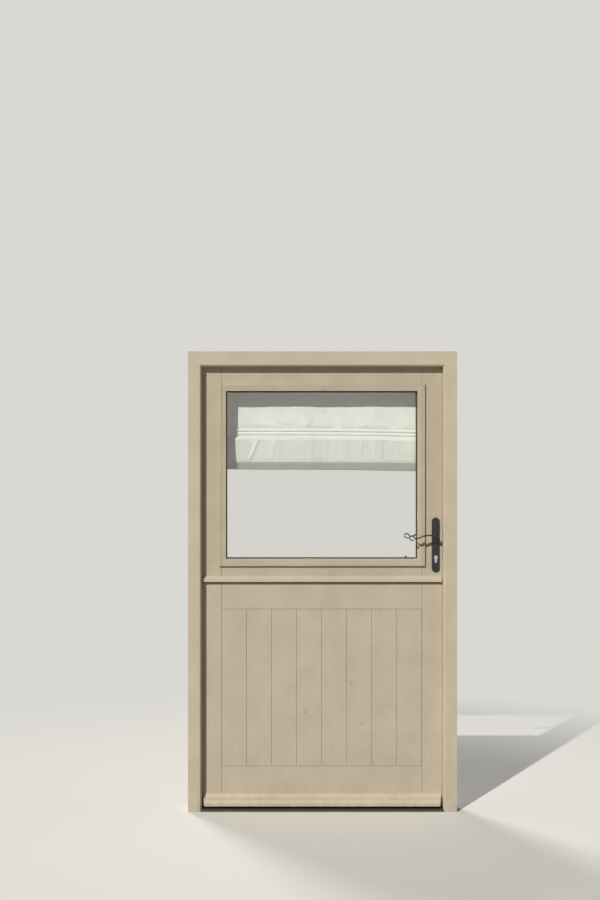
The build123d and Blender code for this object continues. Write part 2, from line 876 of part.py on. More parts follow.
# Lock case with its faceplate, let into the edge of the stile
with BuildPart() as lock_case:
    case_y = (leaf_middle - case_thickness / 2, leaf_middle + case_thickness / 2)
    block((case_edge - case_depth, case_edge), case_y, (case_bottom, case_top), mode=Mode.ADD)
    faceplate_length = case_top - case_bottom + 2 * faceplate_overhang
    with BuildSketch(Plane.YZ.offset(case_edge)):
        with Locations((leaf_middle, (case_top + case_bottom) / 2)):
            Rectangle(faceplate_width, faceplate_length)
    extrude(amount=faceplate_thickness)
    # Channels in which the latch and the dead bolt slide
    for z, height, width, inner_end in (
        (latch_z, latch_height, latch_width, latch_tip - latch_length - latch_travel),
        (dead_z, dead_height, dead_width, dead_tip - dead_length),
    ):
        block(
            (inner_end - bolt_ease, leaf_half),
            (leaf_middle - width / 2 - bolt_ease, leaf_middle + width / 2 + bolt_ease),
            (z - height / 2 - bolt_ease, z + height / 2 + bolt_ease),
        )
    # Round holes for the spindle and the turning cam, and the cylinder's outline
    with BuildSketch(Plane.XZ.offset(-plate_front)) as follower_hole:
        with Locations((lever_x, lever_height)):
            Circle(follower_radius)
    through_leaf(follower_hole.sketch)
    through_leaf(cylinder_outline(cylinder_ease, plate_front))
    with BuildSketch(Plane.XZ.offset(-leaf_middle)):
        with Locations((lever_x, cylinder_z)):
            Circle(cam_radius + cam_room)
    extrude(amount=cam_gap / 2, both=True, mode=Mode.SUBTRACT)
    cut_screw_holes(lock_screws[:2])

with BuildPart() as latch_bolt:
    latch_half = latch_width / 2
    with BuildSketch(Plane.XY.offset(latch_z - latch_height / 2)):
        with BuildLine():
            Polyline(
                (latch_tip - latch_length, leaf_middle - latch_half),
                (latch_tip - latch_reach, leaf_middle - latch_half),
                (latch_tip, leaf_middle - latch_half + latch_bevel),
                (latch_tip, leaf_middle + latch_half),
                (latch_tip - latch_length, leaf_middle + latch_half),
                close=True,
            )
        make_face()
    extrude(amount=latch_height)

with BuildPart() as dead_bolt:
    with BuildSketch(Plane.YZ.offset(dead_tip - dead_length)):
        with Locations((leaf_middle, dead_z)):
            Rectangle(dead_width, dead_height)
    extrude(amount=dead_length)
    chamfer(dead_bolt.faces().sort_by(Axis.X)[-1].edges(), length=joint_arris)

with BuildPart() as lock_keep:
    with BuildSketch(Plane.YZ.offset(rebate_half)):
        with Locations((leaf_middle, (keep_top + keep_bottom) / 2)):
            Rectangle(keep_width, keep_top - keep_bottom)
        for z, height, width in ((latch_z, latch_height, latch_width), (dead_z, dead_height, dead_width)):
            with Locations((leaf_middle, z)):
                Rectangle(width + 2 * keep_hole_ease, height + 2 * keep_hole_ease, mode=Mode.SUBTRACT)
    extrude(amount=keep_thickness)
    cut_screw_holes(keep_screws)

# Cylinder: a keyhole-shaped body with a gap in its middle for the cam of the turning plug
cylinder_front = plate_front - cylinder_proud
cylinder_length = 2 * (leaf_middle - cylinder_front)
with BuildPart() as lock_cylinder:
    extrude(cylinder_outline(0, cylinder_front), amount=cylinder_length, dir=(0, 1, 0))
    with BuildSketch(Plane.XZ.offset(-cylinder_front)):
        with Locations((lever_x, cylinder_z)):
            Circle(plug_radius + plug_ease)
    extrude(amount=-cylinder_length, mode=Mode.SUBTRACT)
    with BuildSketch(Plane.XZ.offset(-leaf_middle)):
        with Locations((lever_x, cylinder_z)):
            Circle(cam_radius + cam_room)
    extrude(amount=cam_gap / 2, both=True, mode=Mode.SUBTRACT)

with BuildPart() as cylinder_plug:
    with BuildSketch(Plane.XZ.offset(-cylinder_front)):
        with Locations((lever_x, cylinder_z)):
            Circle(plug_radius)
    extrude(amount=-cylinder_length)
    with BuildSketch(Plane.XZ.offset(-leaf_middle)):
        with Locations((lever_x, cylinder_z - cam_radius / 2)):
            Rectangle(cam_width, cam_radius)
        with Locations((lever_x, cylinder_z)):
            Circle(cam_radius, mode=Mode.INTERSECT)
    extrude(amount=cam_thickness / 2, both=True)
    for y in (cylinder_front, cylinder_front + cylinder_length):
        key_y = (y - keyway_depth, y + keyway_depth)
        key_z = (cylinder_z - keyway_height / 2, cylinder_z + keyway_height / 2)
        block((lever_x - keyway_width / 2, lever_x + keyway_width / 2), key_y, key_z)

# Backplates: long plates with round ends and a softened front edge
mirror_plane = Plane(origin=(0, leaf_middle, 0), z_dir=(0, 1, 0))
with BuildPart() as outer_backplate:
    with BuildSketch(Plane.XZ.offset(-leaf_front)):
        with Locations((lever_x, plate_z)):
            SlotOverall(plate_length, plate_width, rotation=90)
    extrude(amount=plate_thickness)
    fillet(outer_backplate.faces().sort_by(Axis.Y)[0].edges(), radius=plate_edge)
    with BuildSketch(Plane.XZ.offset(-plate_front)) as bearing:
        with Locations((lever_x, lever_height)):
            Circle(bearing_radius + bearing_ease)
    through_leaf(bearing.sketch)
    through_leaf(cylinder_outline(cylinder_ease, plate_front))

with BuildPart() as inner_backplate:
    mirror(outer_backplate.part, about=mirror_plane)
    cut_screw_holes(lock_screws[2:])

# Lever: a turned neck carries a tapered bar that rises, dips and ends in a curl
with BuildPart() as outer_lever:
    lever_y = leaf_front - lever_standoff
    neck_axis = Axis((lever_x, 0, lever_height), (0, 1, 0))
    boss_back = plate_front - boss_gap
    boss_front = boss_back - boss_length
    with BuildSketch(Plane(origin=(lever_x, 0, lever_height), x_dir=(1, 0, 0), z_dir=(0, 0, 1))):
        with BuildLine():
            Polyline(
                (0, leaf_front - boss_gap),
                (bearing_radius, leaf_front - boss_gap),
                (bearing_radius, boss_back),
                (boss_radius, boss_back),
                (boss_radius, boss_front),
                (neck_radius, boss_front - joint_arris),
            )
            ThreePointArc(
                (neck_radius, boss_front - joint_arris),
                (neck_waist, (boss_front + lever_y) / 2),
                (neck_radius, lever_y),
            )
            RadiusArc((neck_radius, lever_y), (0, lever_y - neck_radius), -neck_radius)
            Line((0, lever_y - neck_radius), (0, leaf_front - boss_gap))
        make_face()
    revolve(axis=neck_axis)
    # The bar's middle line runs to the left from the neck, with the curl at its end
    bar_plane = Plane(origin=(lever_x, lever_y, lever_height), x_dir=(-1, 0, 0), z_dir=(0, 1, 0))
    with BuildLine(bar_plane) as bar_line:
        rise = ThreePointArc((0, 0), lever_crest, lever_fall)
        bend = rise
        for point in (curl_foot, curl_front, curl_crest, curl_end):
            bend = TangentArc(bend @ 1, bar_plane.from_local_coords(point), tangent=bend % 1)
    with BuildSketch(Plane(origin=rise @ 0, z_dir=rise % 0)) as bar_root:
        Circle(lever_root_radius)
    with BuildSketch(Plane(origin=bend @ 1, z_dir=bend % 1)) as bar_tip:
        Circle(lever_tip_radius)
    sweep(sections=[bar_root.sketch, bar_tip.sketch], path=bar_line.wires()[0], multisection=True)
    # A square socket takes the spindle
    socket_half = spindle_side / 2 + spindle_ease
    block(
        (lever_x - socket_half, lever_x + socket_half),
        (leaf_front - boss_gap - socket_depth, leaf_front),
        (lever_height - socket_half, lever_height + socket_half),
    )

with BuildPart() as inner_lever:
    mirror(outer_lever.part, about=mirror_plane)

with BuildPart() as lever_spindle:
    spindle_half = leaf_middle - leaf_front + socket_depth - spindle_room
    with BuildSketch(Plane.XZ.offset(-leaf_middle)):
        with Locations((lever_x, lever_height)):
            Rectangle(spindle_side, spindle_side)
    extrude(amount=spindle_half, both=True)


# Lower leaf: boards with tongues in grooves, held all round by grooved stiles and rails
def cut_board_groove(x_range, z_range):
    """Cuts the groove that takes the boards' tongues at the edge of a stile or rail."""
    block(x_range, (tongue_front - tongue_ease, tongue_back + tongue_ease), z_range)


def lower_stile(side):
    """A full-height stile with its groove for the boards and the mortises of both rails."""
    with BuildPart() as stile:
        with BuildSketch(Plane.XY.offset(leaf_bottom)):
            with BuildLine():
                Polyline(
                    (side * leaf_half, leaf_front),
                    (side * leaf_half, back),
                    (side * rail_half, back),
                    (side * rail_half, leaf_front + joint_arris),
                    (side * (rail_half + joint_arris), leaf_front),
                    close=True,
                )
            make_face()
        extrude(amount=split_height - leaf_bottom)
        groove_depth = tongue_length + tongue_room
        groove_x = (side * rail_half, side * (rail_half + groove_depth))
        cut_board_groove(groove_x, (panel_bottom - groove_depth, panel_top + groove_depth))
        for low, high in ((leaf_bottom, panel_bottom), (panel_top, split_height)):
            cut_mortise(side, low, high)
        add(lower_envelope, mode=Mode.INTERSECT)
    return stile.part


with BuildPart() as lower_stile_hinge_side:
    add(lower_stile(-1))
    cut_hinge_recesses(lower_hinges, 1)
    cut_screw_holes(hinge_screws(lower_hinges, 1))

with BuildPart() as lower_stile_lock_side:
    add(lower_stile(1))
    cut_screw_holes(lower_plate_screws)


def lower_rail(low, high, panel_side):
    """A rail of the lower leaf. Panel_side is 1 if the boards are above it and -1 if they are below."""
    panel_edge = high if panel_side > 0 else low
    with BuildPart() as rail:
        with BuildSketch(Plane.YZ.offset(-rail_half)):
            with Locations((leaf_middle, (low + high) / 2)):
                Rectangle(leaf_thickness, high - low)
        extrude(amount=2 * rail_half)
        face_edge = rail.edges().filter_by(Axis.X).group_by(Axis.Y)[0].sort_by(Axis.Z)
        chamfer(face_edge[-1 if panel_side > 0 else 0], length=joint_arris)
        groove_end = panel_edge - panel_side * (tongue_length + tongue_room)
        cut_board_groove((-rail_half, rail_half), tuple(sorted((panel_edge, groove_end))))
        add_tenons(low, high)
        add(lower_envelope, mode=Mode.INTERSECT)
    return rail


bottom_rail = lower_rail(leaf_bottom, panel_bottom, 1)

with BuildPart() as lower_top_rail:
    add(lower_rail(panel_top, split_height, -1).part)
    cut_screw_holes(coupling_keep_screws)


def board(index):
    """A board with a tongue on its right edge and a groove on its left. The first has two tongues."""
    left = -rail_half + index * board_pitch + (board_gap / 2 if index else 0)
    right = -rail_half + (index + 1) * board_pitch
    if index < board_count - 1:
        right -= board_gap / 2
    groove = tongue_length + tongue_room
    # On the first board the groove turns into a tongue, which the stile takes
    side_step = -tongue_length if index == 0 else groove
    ease = 0 if index == 0 else tongue_ease
    with BuildPart() as piece:
        with BuildSketch(Plane.XY.offset(panel_bottom - tongue_length)):
            with BuildLine():
                Polyline(
                    (left, leaf_front + board_arris),
                    (left + board_arris, leaf_front),
                    (right - board_arris, leaf_front),
                    (right, leaf_front + board_arris),
                    (right, tongue_front),
                    (right + tongue_length, tongue_front),
                    (right + tongue_length, tongue_back),
                    (right, tongue_back),
                    (right, board_back),
                    (left, board_back),
                    (left, tongue_back + ease),
                    (left + side_step, tongue_back + ease),
                    (left + side_step, tongue_front - ease),
                    (left, tongue_front - ease),
                    close=True,
                )
            make_face()
        extrude(amount=panel_top - panel_bottom + 2 * tongue_length)
        # The ends are cut back to a tongue too
        across = (left - tongue_length, right + tongue_length)
        for near, step in ((panel_bottom, -tongue_length), (panel_top, tongue_length)):
            block(across, (leaf_front, tongue_front), (near, near + step))
            block(across, (tongue_back, board_back), (near, near + step))
        ends = piece.edges().filter_by(Axis.X).group_by(Axis.Y)[0]
        chamfer(ends, length=joint_arris)
    return piece


boards = [board(index) for index in range(board_count)]

panel_half = rail_half - panel_ease
lining_front = back - lining_thickness
with BuildPart() as panel_core:
    with BuildSketch(Plane.XZ.offset(-board_back)):
        with Locations((0, (panel_top + panel_bottom) / 2)):
            Rectangle(2 * panel_half, panel_top - panel_bottom - 2 * panel_ease)
    extrude(amount=-(lining_front - board_back))

with BuildPart() as panel_lining:
    with BuildSketch(Plane.XY.offset(panel_bottom + panel_ease)):
        with Locations((0, (lining_front + back) / 2)):
            Rectangle(2 * panel_half, lining_thickness)
        # V grooves in line with the joints of the boards outside
        for index in range(1, board_count):
            x = -rail_half + index * board_pitch
            with BuildLine():
                Polyline(
                    (x - board_arris, back),
                    (x, back - board_arris),
                    (x + board_arris, back),
                    close=True,
                )
            make_face(mode=Mode.SUBTRACT)
    extrude(amount=panel_top - panel_bottom - 2 * panel_ease)

# The weatherboard has a fillet, a hollow, a round face and a nose, and is splayed at its ends
with BuildPart() as weatherboard:
    low = threshold_height + upstand_height + weather_lift
    high = low + weather_height
    nose = leaf_front - weather_proud
    step = (leaf_front - weather_fillet, high - weather_fillet)
    turn = (leaf_front - weather_turn_out, high - weather_turn_drop)
    brow = (nose + throat_depth, low + weather_nose + weather_fillet)
    lip = (nose, low + weather_nose - joint_arris)
    with BuildSketch(Plane.YZ.offset(-bar_half)):
        with BuildLine():
            Polyline((leaf_front, low), (leaf_front, high), (leaf_front - weather_fillet, high), step)
            hollow = RadiusArc(step, turn, weather_hollow_radius)
            TangentArc(turn, brow, tangent=hollow % 1)
            Polyline(brow, (nose + throat_depth, low + weather_nose), lip)
            Polyline(
                lip,
                (nose, low + joint_arris),
                (nose + joint_arris, low),
                (nose + 2 * throat_width, low),
                (nose + 2 * throat_width, low + throat_depth),
                (nose + 3 * throat_width, low + throat_depth),
                (nose + 3 * throat_width, low),
                (leaf_front, low),
            )
        make_face()
    extrude(amount=2 * bar_half)
    for side in (-1, 1):
        with BuildSketch(Plane.XY.offset(low)):
            with BuildLine():
                Polyline(
                    (side * bar_half, leaf_front),
                    (side * bar_half, nose),
                    (side * (bar_half - weather_splay), nose),
                    close=True,
                )
            make_face()
        extrude(amount=weather_height, mode=Mode.SUBTRACT)


# Tower bolts: a plate with two staples guides a round rod with a knob
def staple_outline(plane, side_x):
    """The section of a staple round the rod: an arch on legs with a round hole."""
    with BuildSketch(plane) as outline:
        with Locations((side_x, rod_y)):
            Circle(staple_half)
        with Locations((side_x, (back + rod_y) / 2)):
            Rectangle(2 * staple_half, rod_y - back)
        with Locations((side_x, rod_y)):
            Circle(rod_radius + rod_ease, mode=Mode.SUBTRACT)
    return outline.sketch


def bolt_plate(length, staples, staple_size, screws_at):
    """An upright plate from the floor plane up, at x zero, with staples at the given heights."""
    with BuildPart() as plate:
        with BuildSketch(Plane.XZ.offset(-back)):
            with Locations((0, length / 2)):
                RectangleRounded(rod_plate_width, length, plate_edge)
        extrude(amount=-rod_plate_thickness)
        for height in staples:
            extrude(staple_outline(Plane.XY.offset(height), 0), amount=staple_size)
        for height in screws_at:
            cut_screw_holes([facing(side * rod_screw_side, rod_face, height, (0, 1, 0)) for side in (-1, 1)])
    return plate.part


plate_staples = (staple_inset, rod_plate_length - staple_inset - staple_length)
long_plate = bolt_plate(rod_plate_length, plate_staples, staple_length, rod_screw_heights)
keep_staples = ((bolt_keep_length - keep_staple_length) / 2,)
short_plate = bolt_plate(bolt_keep_length, keep_staples, keep_staple_length, (bolt_keep_length / 2,))


def bolt_rod():
    """A rod from the floor plane up, with a knob towards the room that moves between the staples."""
    length = rod_plate_length + bolt_travel
    knob_at = length / 2
    with BuildPart() as rod:
        with BuildSketch():
            with Locations((0, rod_y)):
                Circle(rod_radius)
        extrude(amount=length)
        chamfer(rod.edges().filter_by(GeomType.CIRCLE), length=joint_arris)
        with BuildSketch(Plane(origin=(0, rod_y, knob_at), z_dir=(0, 1, 0))):
            Circle(knob_radius)
        extrude(amount=rod_radius + knob_height)
        chamfer(rod.faces().sort_by(Axis.Y)[-1].edges(), length=joint_arris)
    return rod.part


# The coupling bolt stands upright and drops into its keep on the lower leaf
with BuildPart() as coupling_bolt_plate:
    with Locations((coupling_x, 0, coupling_plate_z)):
        add(long_plate)

with BuildPart() as coupling_bolt_keep:
    with Locations((coupling_x, 0, coupling_keep_z - bolt_keep_length / 2)):
        add(short_plate)

with BuildPart() as coupling_bolt:
    with Locations((coupling_x, 0, upper_bottom + rod_setback)):
        add(bolt_rod())

# The lower bolt lies on its side and slides into its keep on the jamb
on_side = (0, -90, 0)
with BuildPart() as lower_bolt_plate:
    with Locations(Location((lower_plate_x, 0, lower_bolt_height), on_side)):
        add(long_plate)

with BuildPart() as lower_bolt_keep:
    with Locations(Location((jamb_keep_x + bolt_keep_length / 2, 0, lower_bolt_height), on_side)):
        add(short_plate)

with BuildPart() as lower_bolt:
    with Locations(Location((leaf_half - rod_setback, 0, lower_bolt_height), on_side)):
        add(bolt_rod())

# Roman blind, drawn half up: a headrail, and cloth with two sewn pleats and a full lower fold
with BuildPart() as blind_headrail:
    with BuildSketch(Plane.YZ.offset(-blind_width / 2)):
        with Locations((back + headrail_depth / 2, headrail_top - headrail_height / 2)):
            Rectangle(headrail_depth, headrail_height)
    extrude(amount=blind_width)

with BuildPart() as blind_fabric:
    cloth_front = back + headrail_depth
    cloth_back = cloth_front + blind_cloth
    fold_top = pleat_height - (pleat_count - 1) * pleat_pitch - pleat_radius
    fold_front = cloth_front - blind_bulge
    with BuildSketch(Plane.YZ.offset(-blind_width / 2)):
        with BuildLine():
            above = (cloth_front, headrail_top)
            for index in range(pleat_count):
                centre = pleat_height - index * pleat_pitch
                Line(above, (cloth_front, centre + pleat_radius))
                ThreePointArc(
                    (cloth_front, centre + pleat_radius),
                    (cloth_front - pleat_radius, centre),
                    (cloth_front, centre - pleat_radius),
                )
                above = (cloth_front, centre - pleat_radius)
            ThreePointArc(
                above,
                (fold_front, (fold_top + blind_bottom) / 2),
                (cloth_front - blind_bulge / 2, blind_bottom),
            )
            Polyline(
                (cloth_front - blind_bulge / 2, blind_bottom),
                (cloth_back, blind_bottom),
                (cloth_back, headrail_top),
                (cloth_front, headrail_top),
            )
        make_face()
    extrude(amount=blind_width)


# Screws of one kind, grouped by what they are driven into
def screw_group(places):
    """One group of screws at the given places."""
    with BuildPart() as group:
        with Locations(*places):
            add(wood_screw)
    return group


frame_screws = screw_group(frame_screw_places)
upper_leaf_screws = screw_group(upper_screw_places)
lower_leaf_screws = screw_group(lower_screw_places)

pieces = {
    "jamb_hinge_side": jamb_hinge_side,
    "jamb_lock_side": jamb_lock_side,
    "frame_head": frame_head,
    "threshold": threshold,
    "frame_seal": frame_seal,
    "lock_keep": lock_keep,
    "lower_bolt_keep": lower_bolt_keep,
    "hinge_frame_leaves": hinge_frame_leaves,
    "hinge_pins": hinge_pins,
    "frame_screws": frame_screws,
    "upper_stile_hinge_side": upper_stile_hinge_side,
    "upper_stile_lock_side": upper_stile_lock_side,
    "upper_top_rail": upper_top_rail,
    "meeting_rail": meeting_rail,
    "glass_outer_pane": glass_outer_pane,
    "glass_spacer": glass_spacer,
    "glass_inner_pane": glass_inner_pane,
    "bead_left": bead_left,
    "bead_right": bead_right,
    "bead_top": bead_top,
    "bead_bottom": bead_bottom,
    "bead_hook": bead_hook,
    "drip_bar": drip_bar,
    "upper_hinge_leaves": upper_hinge_leaves,
    "lock_case": lock_case,
    "outer_backplate": outer_backplate,
    "inner_backplate": inner_backplate,
    "lock_cylinder": lock_cylinder,
    "coupling_bolt_plate": coupling_bolt_plate,
    "blind_headrail": blind_headrail,
    "blind_fabric": blind_fabric,
    "upper_leaf_screws": upper_leaf_screws,
    "outer_lever": outer_lever,
    "inner_lever": inner_lever,
    "lever_spindle": lever_spindle,
    "latch_bolt": latch_bolt,
    "dead_bolt": dead_bolt,
    "cylinder_plug": cylinder_plug,
    "coupling_bolt": coupling_bolt,
    "lower_stile_hinge_side": lower_stile_hinge_side,
    "lower_stile_lock_side": lower_stile_lock_side,
    "lower_top_rail": lower_top_rail,
    "bottom_rail": bottom_rail,
    "panel_core": panel_core,
    "panel_lining": panel_lining,
    "weatherboard": weatherboard,
    "lower_hinge_leaves": lower_hinge_leaves,
    "coupling_bolt_keep": coupling_bolt_keep,
    "lower_bolt_plate": lower_bolt_plate,
    "lower_leaf_seals": lower_leaf_seals,
    "lower_leaf_screws": lower_leaf_screws,
    "lower_bolt": lower_bolt,
}
for index, piece in enumerate(boards):
    pieces[f"board_{index + 1}"] = piece

os.makedirs("parts", exist_ok=True)
for name, piece in pieces.items():
    piece.part.label = name
    export_step(piece.part, f"parts/{name}.step")
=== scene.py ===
import math

import bmesh
import bpy
import numpy as np
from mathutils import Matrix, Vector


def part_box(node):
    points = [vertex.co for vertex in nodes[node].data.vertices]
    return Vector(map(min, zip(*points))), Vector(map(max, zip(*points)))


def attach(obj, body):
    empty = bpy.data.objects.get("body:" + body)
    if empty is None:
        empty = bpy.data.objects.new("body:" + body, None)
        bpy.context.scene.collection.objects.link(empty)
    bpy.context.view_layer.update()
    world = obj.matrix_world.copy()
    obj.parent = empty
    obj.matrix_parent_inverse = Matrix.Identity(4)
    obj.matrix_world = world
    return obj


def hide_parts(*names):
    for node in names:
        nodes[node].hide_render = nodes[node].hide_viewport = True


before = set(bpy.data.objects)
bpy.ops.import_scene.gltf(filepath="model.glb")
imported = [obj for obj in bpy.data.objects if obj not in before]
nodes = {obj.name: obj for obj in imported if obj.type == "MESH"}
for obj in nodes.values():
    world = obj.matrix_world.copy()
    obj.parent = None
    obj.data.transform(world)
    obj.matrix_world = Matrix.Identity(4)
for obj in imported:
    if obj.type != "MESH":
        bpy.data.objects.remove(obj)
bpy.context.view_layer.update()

# All sizes are in metres, in the frame of the CAD: x to the lock side, y to the back, z up

# Glass opening, as the beads leave it
SIGHT_HALF = 0.424
SIGHT_LOW = 1.110
SIGHT_HIGH = 1.853

# Leaves: their front and middle planes, the lines where rails, panel and stiles meet, half the width of the painted
# shade along them, and how far behind the front it still shows
LEAF_FRONT = -0.006
LEAF_MIDDLE = 0.022
STILE_EDGE = 0.444
PANEL_LOW = 0.192
PANEL_HIGH = 0.887
JOINT_SHADE_HALF = 0.0032
FRONT_REACH = 0.003

# Faint scuffs on the boards: x, z and size, and the share of the size that is scuffed all through
SCUFFS = ((0.130, 0.559, 0.017), (-0.074, 0.431, 0.015), (0.179, 0.382, 0.011))
SCUFF_CORE = 0.2

# Section of the glazing beads. The ridge is the flat strip along the outer edge, and the quirk the step beside it
BEAD_WIDTH = 0.032
BEAD_PROUD = 0.0125
BEAD_ROUND = 0.0015
BEAD_RIDGE = 0.0085
BEAD_QUIRK = 0.0006
BEAD_FALL = 0.003
BEAD_NOSE = 0.0015
BEAD_TAIL = 0.0196
BEAD_OFF_GLASS = 0.0004

# Gasket between beads and glass
GASKET_SHOWN = 0.0055
GASKET_HIDDEN = 0.001
GASKET_PROUD = 0.003

# Levers: spindle's place, depth of the bar's middle, and the bar's middle line as (run, rise) points from the neck
LEVER_AXIS = (0.504, 1.209)
LEVER_DEPTH = -0.062
LEVER_CREST = (0.042, 0.0079)
LEVER_PATH = (
    (0, 0), (0.077, -0.0016), (0.094, -0.006), (0.104, 0), (0.1125, 0.0061), (0.122, -0.001), (0.114, -0.013),
    (0.104, -0.013),
)
# Half the bar's depth and half its thickness, at the neck and at the tip
LEVER_ROOT = (0.0065, 0.0035)
LEVER_TIP = (0.0055, 0.0022)
# Rings that close the tip: how far past the bar's end, and the share of its size
TIP_RINGS = ((0, 1.0), (0.0004, 0.97), (0.0009, 0.8), (0.001, 0.0))
# A superellipse of order 2 / 0.4 = 5 makes the bar's rounded rectangle
BAR_POWER = 0.4
BAR_SIDES = 24
# Outline of the turned neck: y and radius
LEVER_NECK = (
    (-0.0063, 0), (-0.0063, 0.0090), (-0.0133, 0.0090), (-0.0133, 0.0105), (-0.0186, 0.0105), (-0.0193, 0.0098),
    (-0.0203, 0.0070), (-0.0300, 0.0059), (-0.0407, 0.0056), (-0.0515, 0.0059), (-0.0620, 0.0070), (-0.0647, 0.0065),
    (-0.0669, 0.0050), (-0.0684, 0.0026), (-0.0690, 0),
)
NECK_SIDES = 32

# Roman blind: the path of its cloth
BLIND_HALF = 0.44
BLIND_TOP = 1.926
BLIND_CLOTH = 0.0007
CLOTH_PLANE = 0.0790
TUCK_HEIGHTS = (1.683, 1.668)
TUCK_HALF = 0.0055
TUCK_DEPTH = 0.006
FOLD_TOP = 1.6615
FOLD_SHOULDER = 1.643
FOLD_FRONT = 0.0550
FOLD_HEM = 1.549
FOLD_BOTTOM = 1.507
# Hem line on the fold: how far it lies behind the fold's front, its groove's depth and half its height, and how far
# the cloth comes out again below it
HEM_SET_BACK = 0.0075
HEM_GROOVE = 0.0025
HEM_HALF = 0.004
HEM_BELOW = 0.001
# Below the hem line the cloth goes back by the undercut, and turns at the bottom on this run and rise
UNDERCUT = 0.0175
BOTTOM_TURN = (0.0015, 0.003)
# Behind: distance of the cloth that goes up from the cloth that came down, and the rod that it goes over
BEHIND = 0.002
BEHIND_LOW = 0.004
ROD_HALF = 0.0015
ROD_ROUND = 0.002
ROD_HEIGHT = 1.664
HEM_BOTTOM = 1.514
# The cloth's mesh: step down its path, and columns across
CLOTH_STEP = 0.0028
CLOTH_COLUMNS = 171
# Waves of the cloth, each as height, turns across, turns up, in radians a metre, and shift
SOFT_FOLDS = ((0.0021, 17, 0, 0.6), (0.0013, 41, 3, 2.1), (0.0004, 83, 9, 0))
RIPPLES = ((0.0010, 29, 0, 1.7), (0.0007, 71, 0, 0), (0.0005, 133, 60, 0))
# The cloth is held flat for the first distance below its top, and its waves grow over the second
HELD_FLAT = 0.05
HANG_GROWS = 0.15
# Slack cloth above the tucks: where it starts and ends, how fast it grows at each, and how far it bulges
SLACK_TOP = 1.760
SLACK_TOP_GROWS = 0.052
SLACK_FOOT = 1.686
SLACK_FOOT_GROWS = 0.022
SLACK_BULGE = 0.0042
# The lock side hangs lower by twice this, on a slow wave
SAG = 0.0045
SAG_WAVE = 0.0012
# Narrow upright rucks on the hanging fold: height, turns across, and how they crowd together
RUCK_HEIGHT = 0.0005
RUCK_TURNS = 150
RUCK_CROWD = (2, 23)
RUCK_GROWS = 0.02
# Pressed creases: start, end, width and height, towards the glass where the height is above 0
CREASES = (
    ((-0.279, 1.640), (-0.319, 1.553), 0.005, 0.0036),
    ((-0.359, 1.651), (-0.313, 1.638), 0.004, -0.0032),
    ((-0.405, 1.632), (-0.392, 1.560), 0.007, 0.0018),
    ((-0.205, 1.640), (-0.220, 1.565), 0.009, 0.0018),
    ((0.186, 1.640), (0.180, 1.585), 0.005, 0.0018),
    ((0.214, 1.636), (0.211, 1.570), 0.004, -0.0018),
    ((0.243, 1.642), (0.238, 1.580), 0.005, 0.0018),
    ((0.281, 1.630), (0.284, 1.560), 0.006, -0.0018),
    ((0.330, 1.640), (0.341, 1.590), 0.006, 0.0018),
    ((0.372, 1.600), (0.412, 1.566), 0.008, 0.0020),
    ((-0.340, 1.760), (-0.286, 1.706), 0.012, 0.0026),
    ((-0.236, 1.728), (-0.150, 1.702), 0.011, -0.0022),
    ((-0.110, 1.782), (-0.060, 1.716), 0.014, 0.0024),
    ((0.020, 1.760), (0.072, 1.704), 0.012, -0.0024),
    ((0.150, 1.770), (0.196, 1.708), 0.013, 0.0024),
    ((0.256, 1.742), (0.330, 1.706), 0.012, -0.0024),
    ((0.345, 1.776), (0.392, 1.716), 0.013, 0.0024),
)
CREASE_DEPTH = 1.4

# Points nearer than this are one
SAME_SPOT = 1e-7

# Stage: the floor lies a little under the door, and fades into the background between two distances from it
FLOOR_HALF = 60.0
FLOOR_DROP = 0.0005
FLOOR_FADE = (1.0, 3.2)
BACKGROUND_CODE = "#DAD8D3"
CAMERA_PLACE = (-0.473, -6.05, 1.592)
CAMERA_LENS = 54.55
CAMERA_SHIFT = 0.0944


def to_linear(code):
    """Linear colour of an sRGB hex code such as #BEB298."""
    parts = [int(code[i:i + 2], 16) / 255 for i in (1, 3, 5)]
    return tuple(p / 12.92 if p <= 0.04045 else ((p + 0.055) / 1.055) ** 2.4 for p in parts) + (1.0,)


# Materials

# Settings of a Map Range that goes from low to high smoothly, and of a Mix of two colours, whose sockets are 0 for the
# share of the second, 6 and 7 for the colours, and 2 for the result
SMOOTH = {"interpolation_type": "SMOOTHSTEP"}
COLOURS = {"data_type": "RGBA"}


def add(tree, kind, sockets, **settings):
    """Adds a shader node with its settings. The sockets, by name or in order, each get a value, a hex code, another
    node's output or another node's first output."""
    node = tree.nodes.new("ShaderNode" + kind)
    for name, value in settings.items():
        setattr(node, name, value)
    for key, value in sockets.items() if isinstance(sockets, dict) else enumerate(sockets):
        if isinstance(value, str):
            value = to_linear(value)
        if isinstance(value, bpy.types.Node):
            value = value.outputs[0]
        if isinstance(value, bpy.types.NodeSocket):
            tree.links.new(value, node.inputs[key])
        else:
            node.inputs[key].default_value = value
    return node


def new_material(name):
    """A material with an empty tree. Gives the material, its tree and the piece's own coordinates."""
    material = bpy.data.materials.new(name)
    material.use_nodes = True
    tree = material.node_tree
    tree.nodes.clear()
    return material, tree, add(tree, "TexCoord", ()).outputs["Object"]


def finished_surface(tree, sockets, height, depth):
    """Makes the material a Principled surface whose relief is that height pattern, of that depth in metres."""
    relief = add(tree, "Bump", {"Height": height, "Distance": depth, "Strength": 1.0})
    surface = add(tree, "BsdfPrincipled", {**sockets, "Normal": relief})
    add(tree, "OutputMaterial", {"Surface": surface})


def near_line(tree, value, line):
    """1 where the value, taken without its sign, is at the line, and 0 from the painted joint shade's half width off.
    """
    size = add(tree, "Math", (value,), operation="ABSOLUTE")
    off = add(tree, "Math", (size, line), operation="SUBTRACT")
    off = add(tree, "Math", (off,), operation="ABSOLUTE")
    return add(tree, "MapRange", (off, JOINT_SHADE_HALF, 0.0), **SMOOTH)


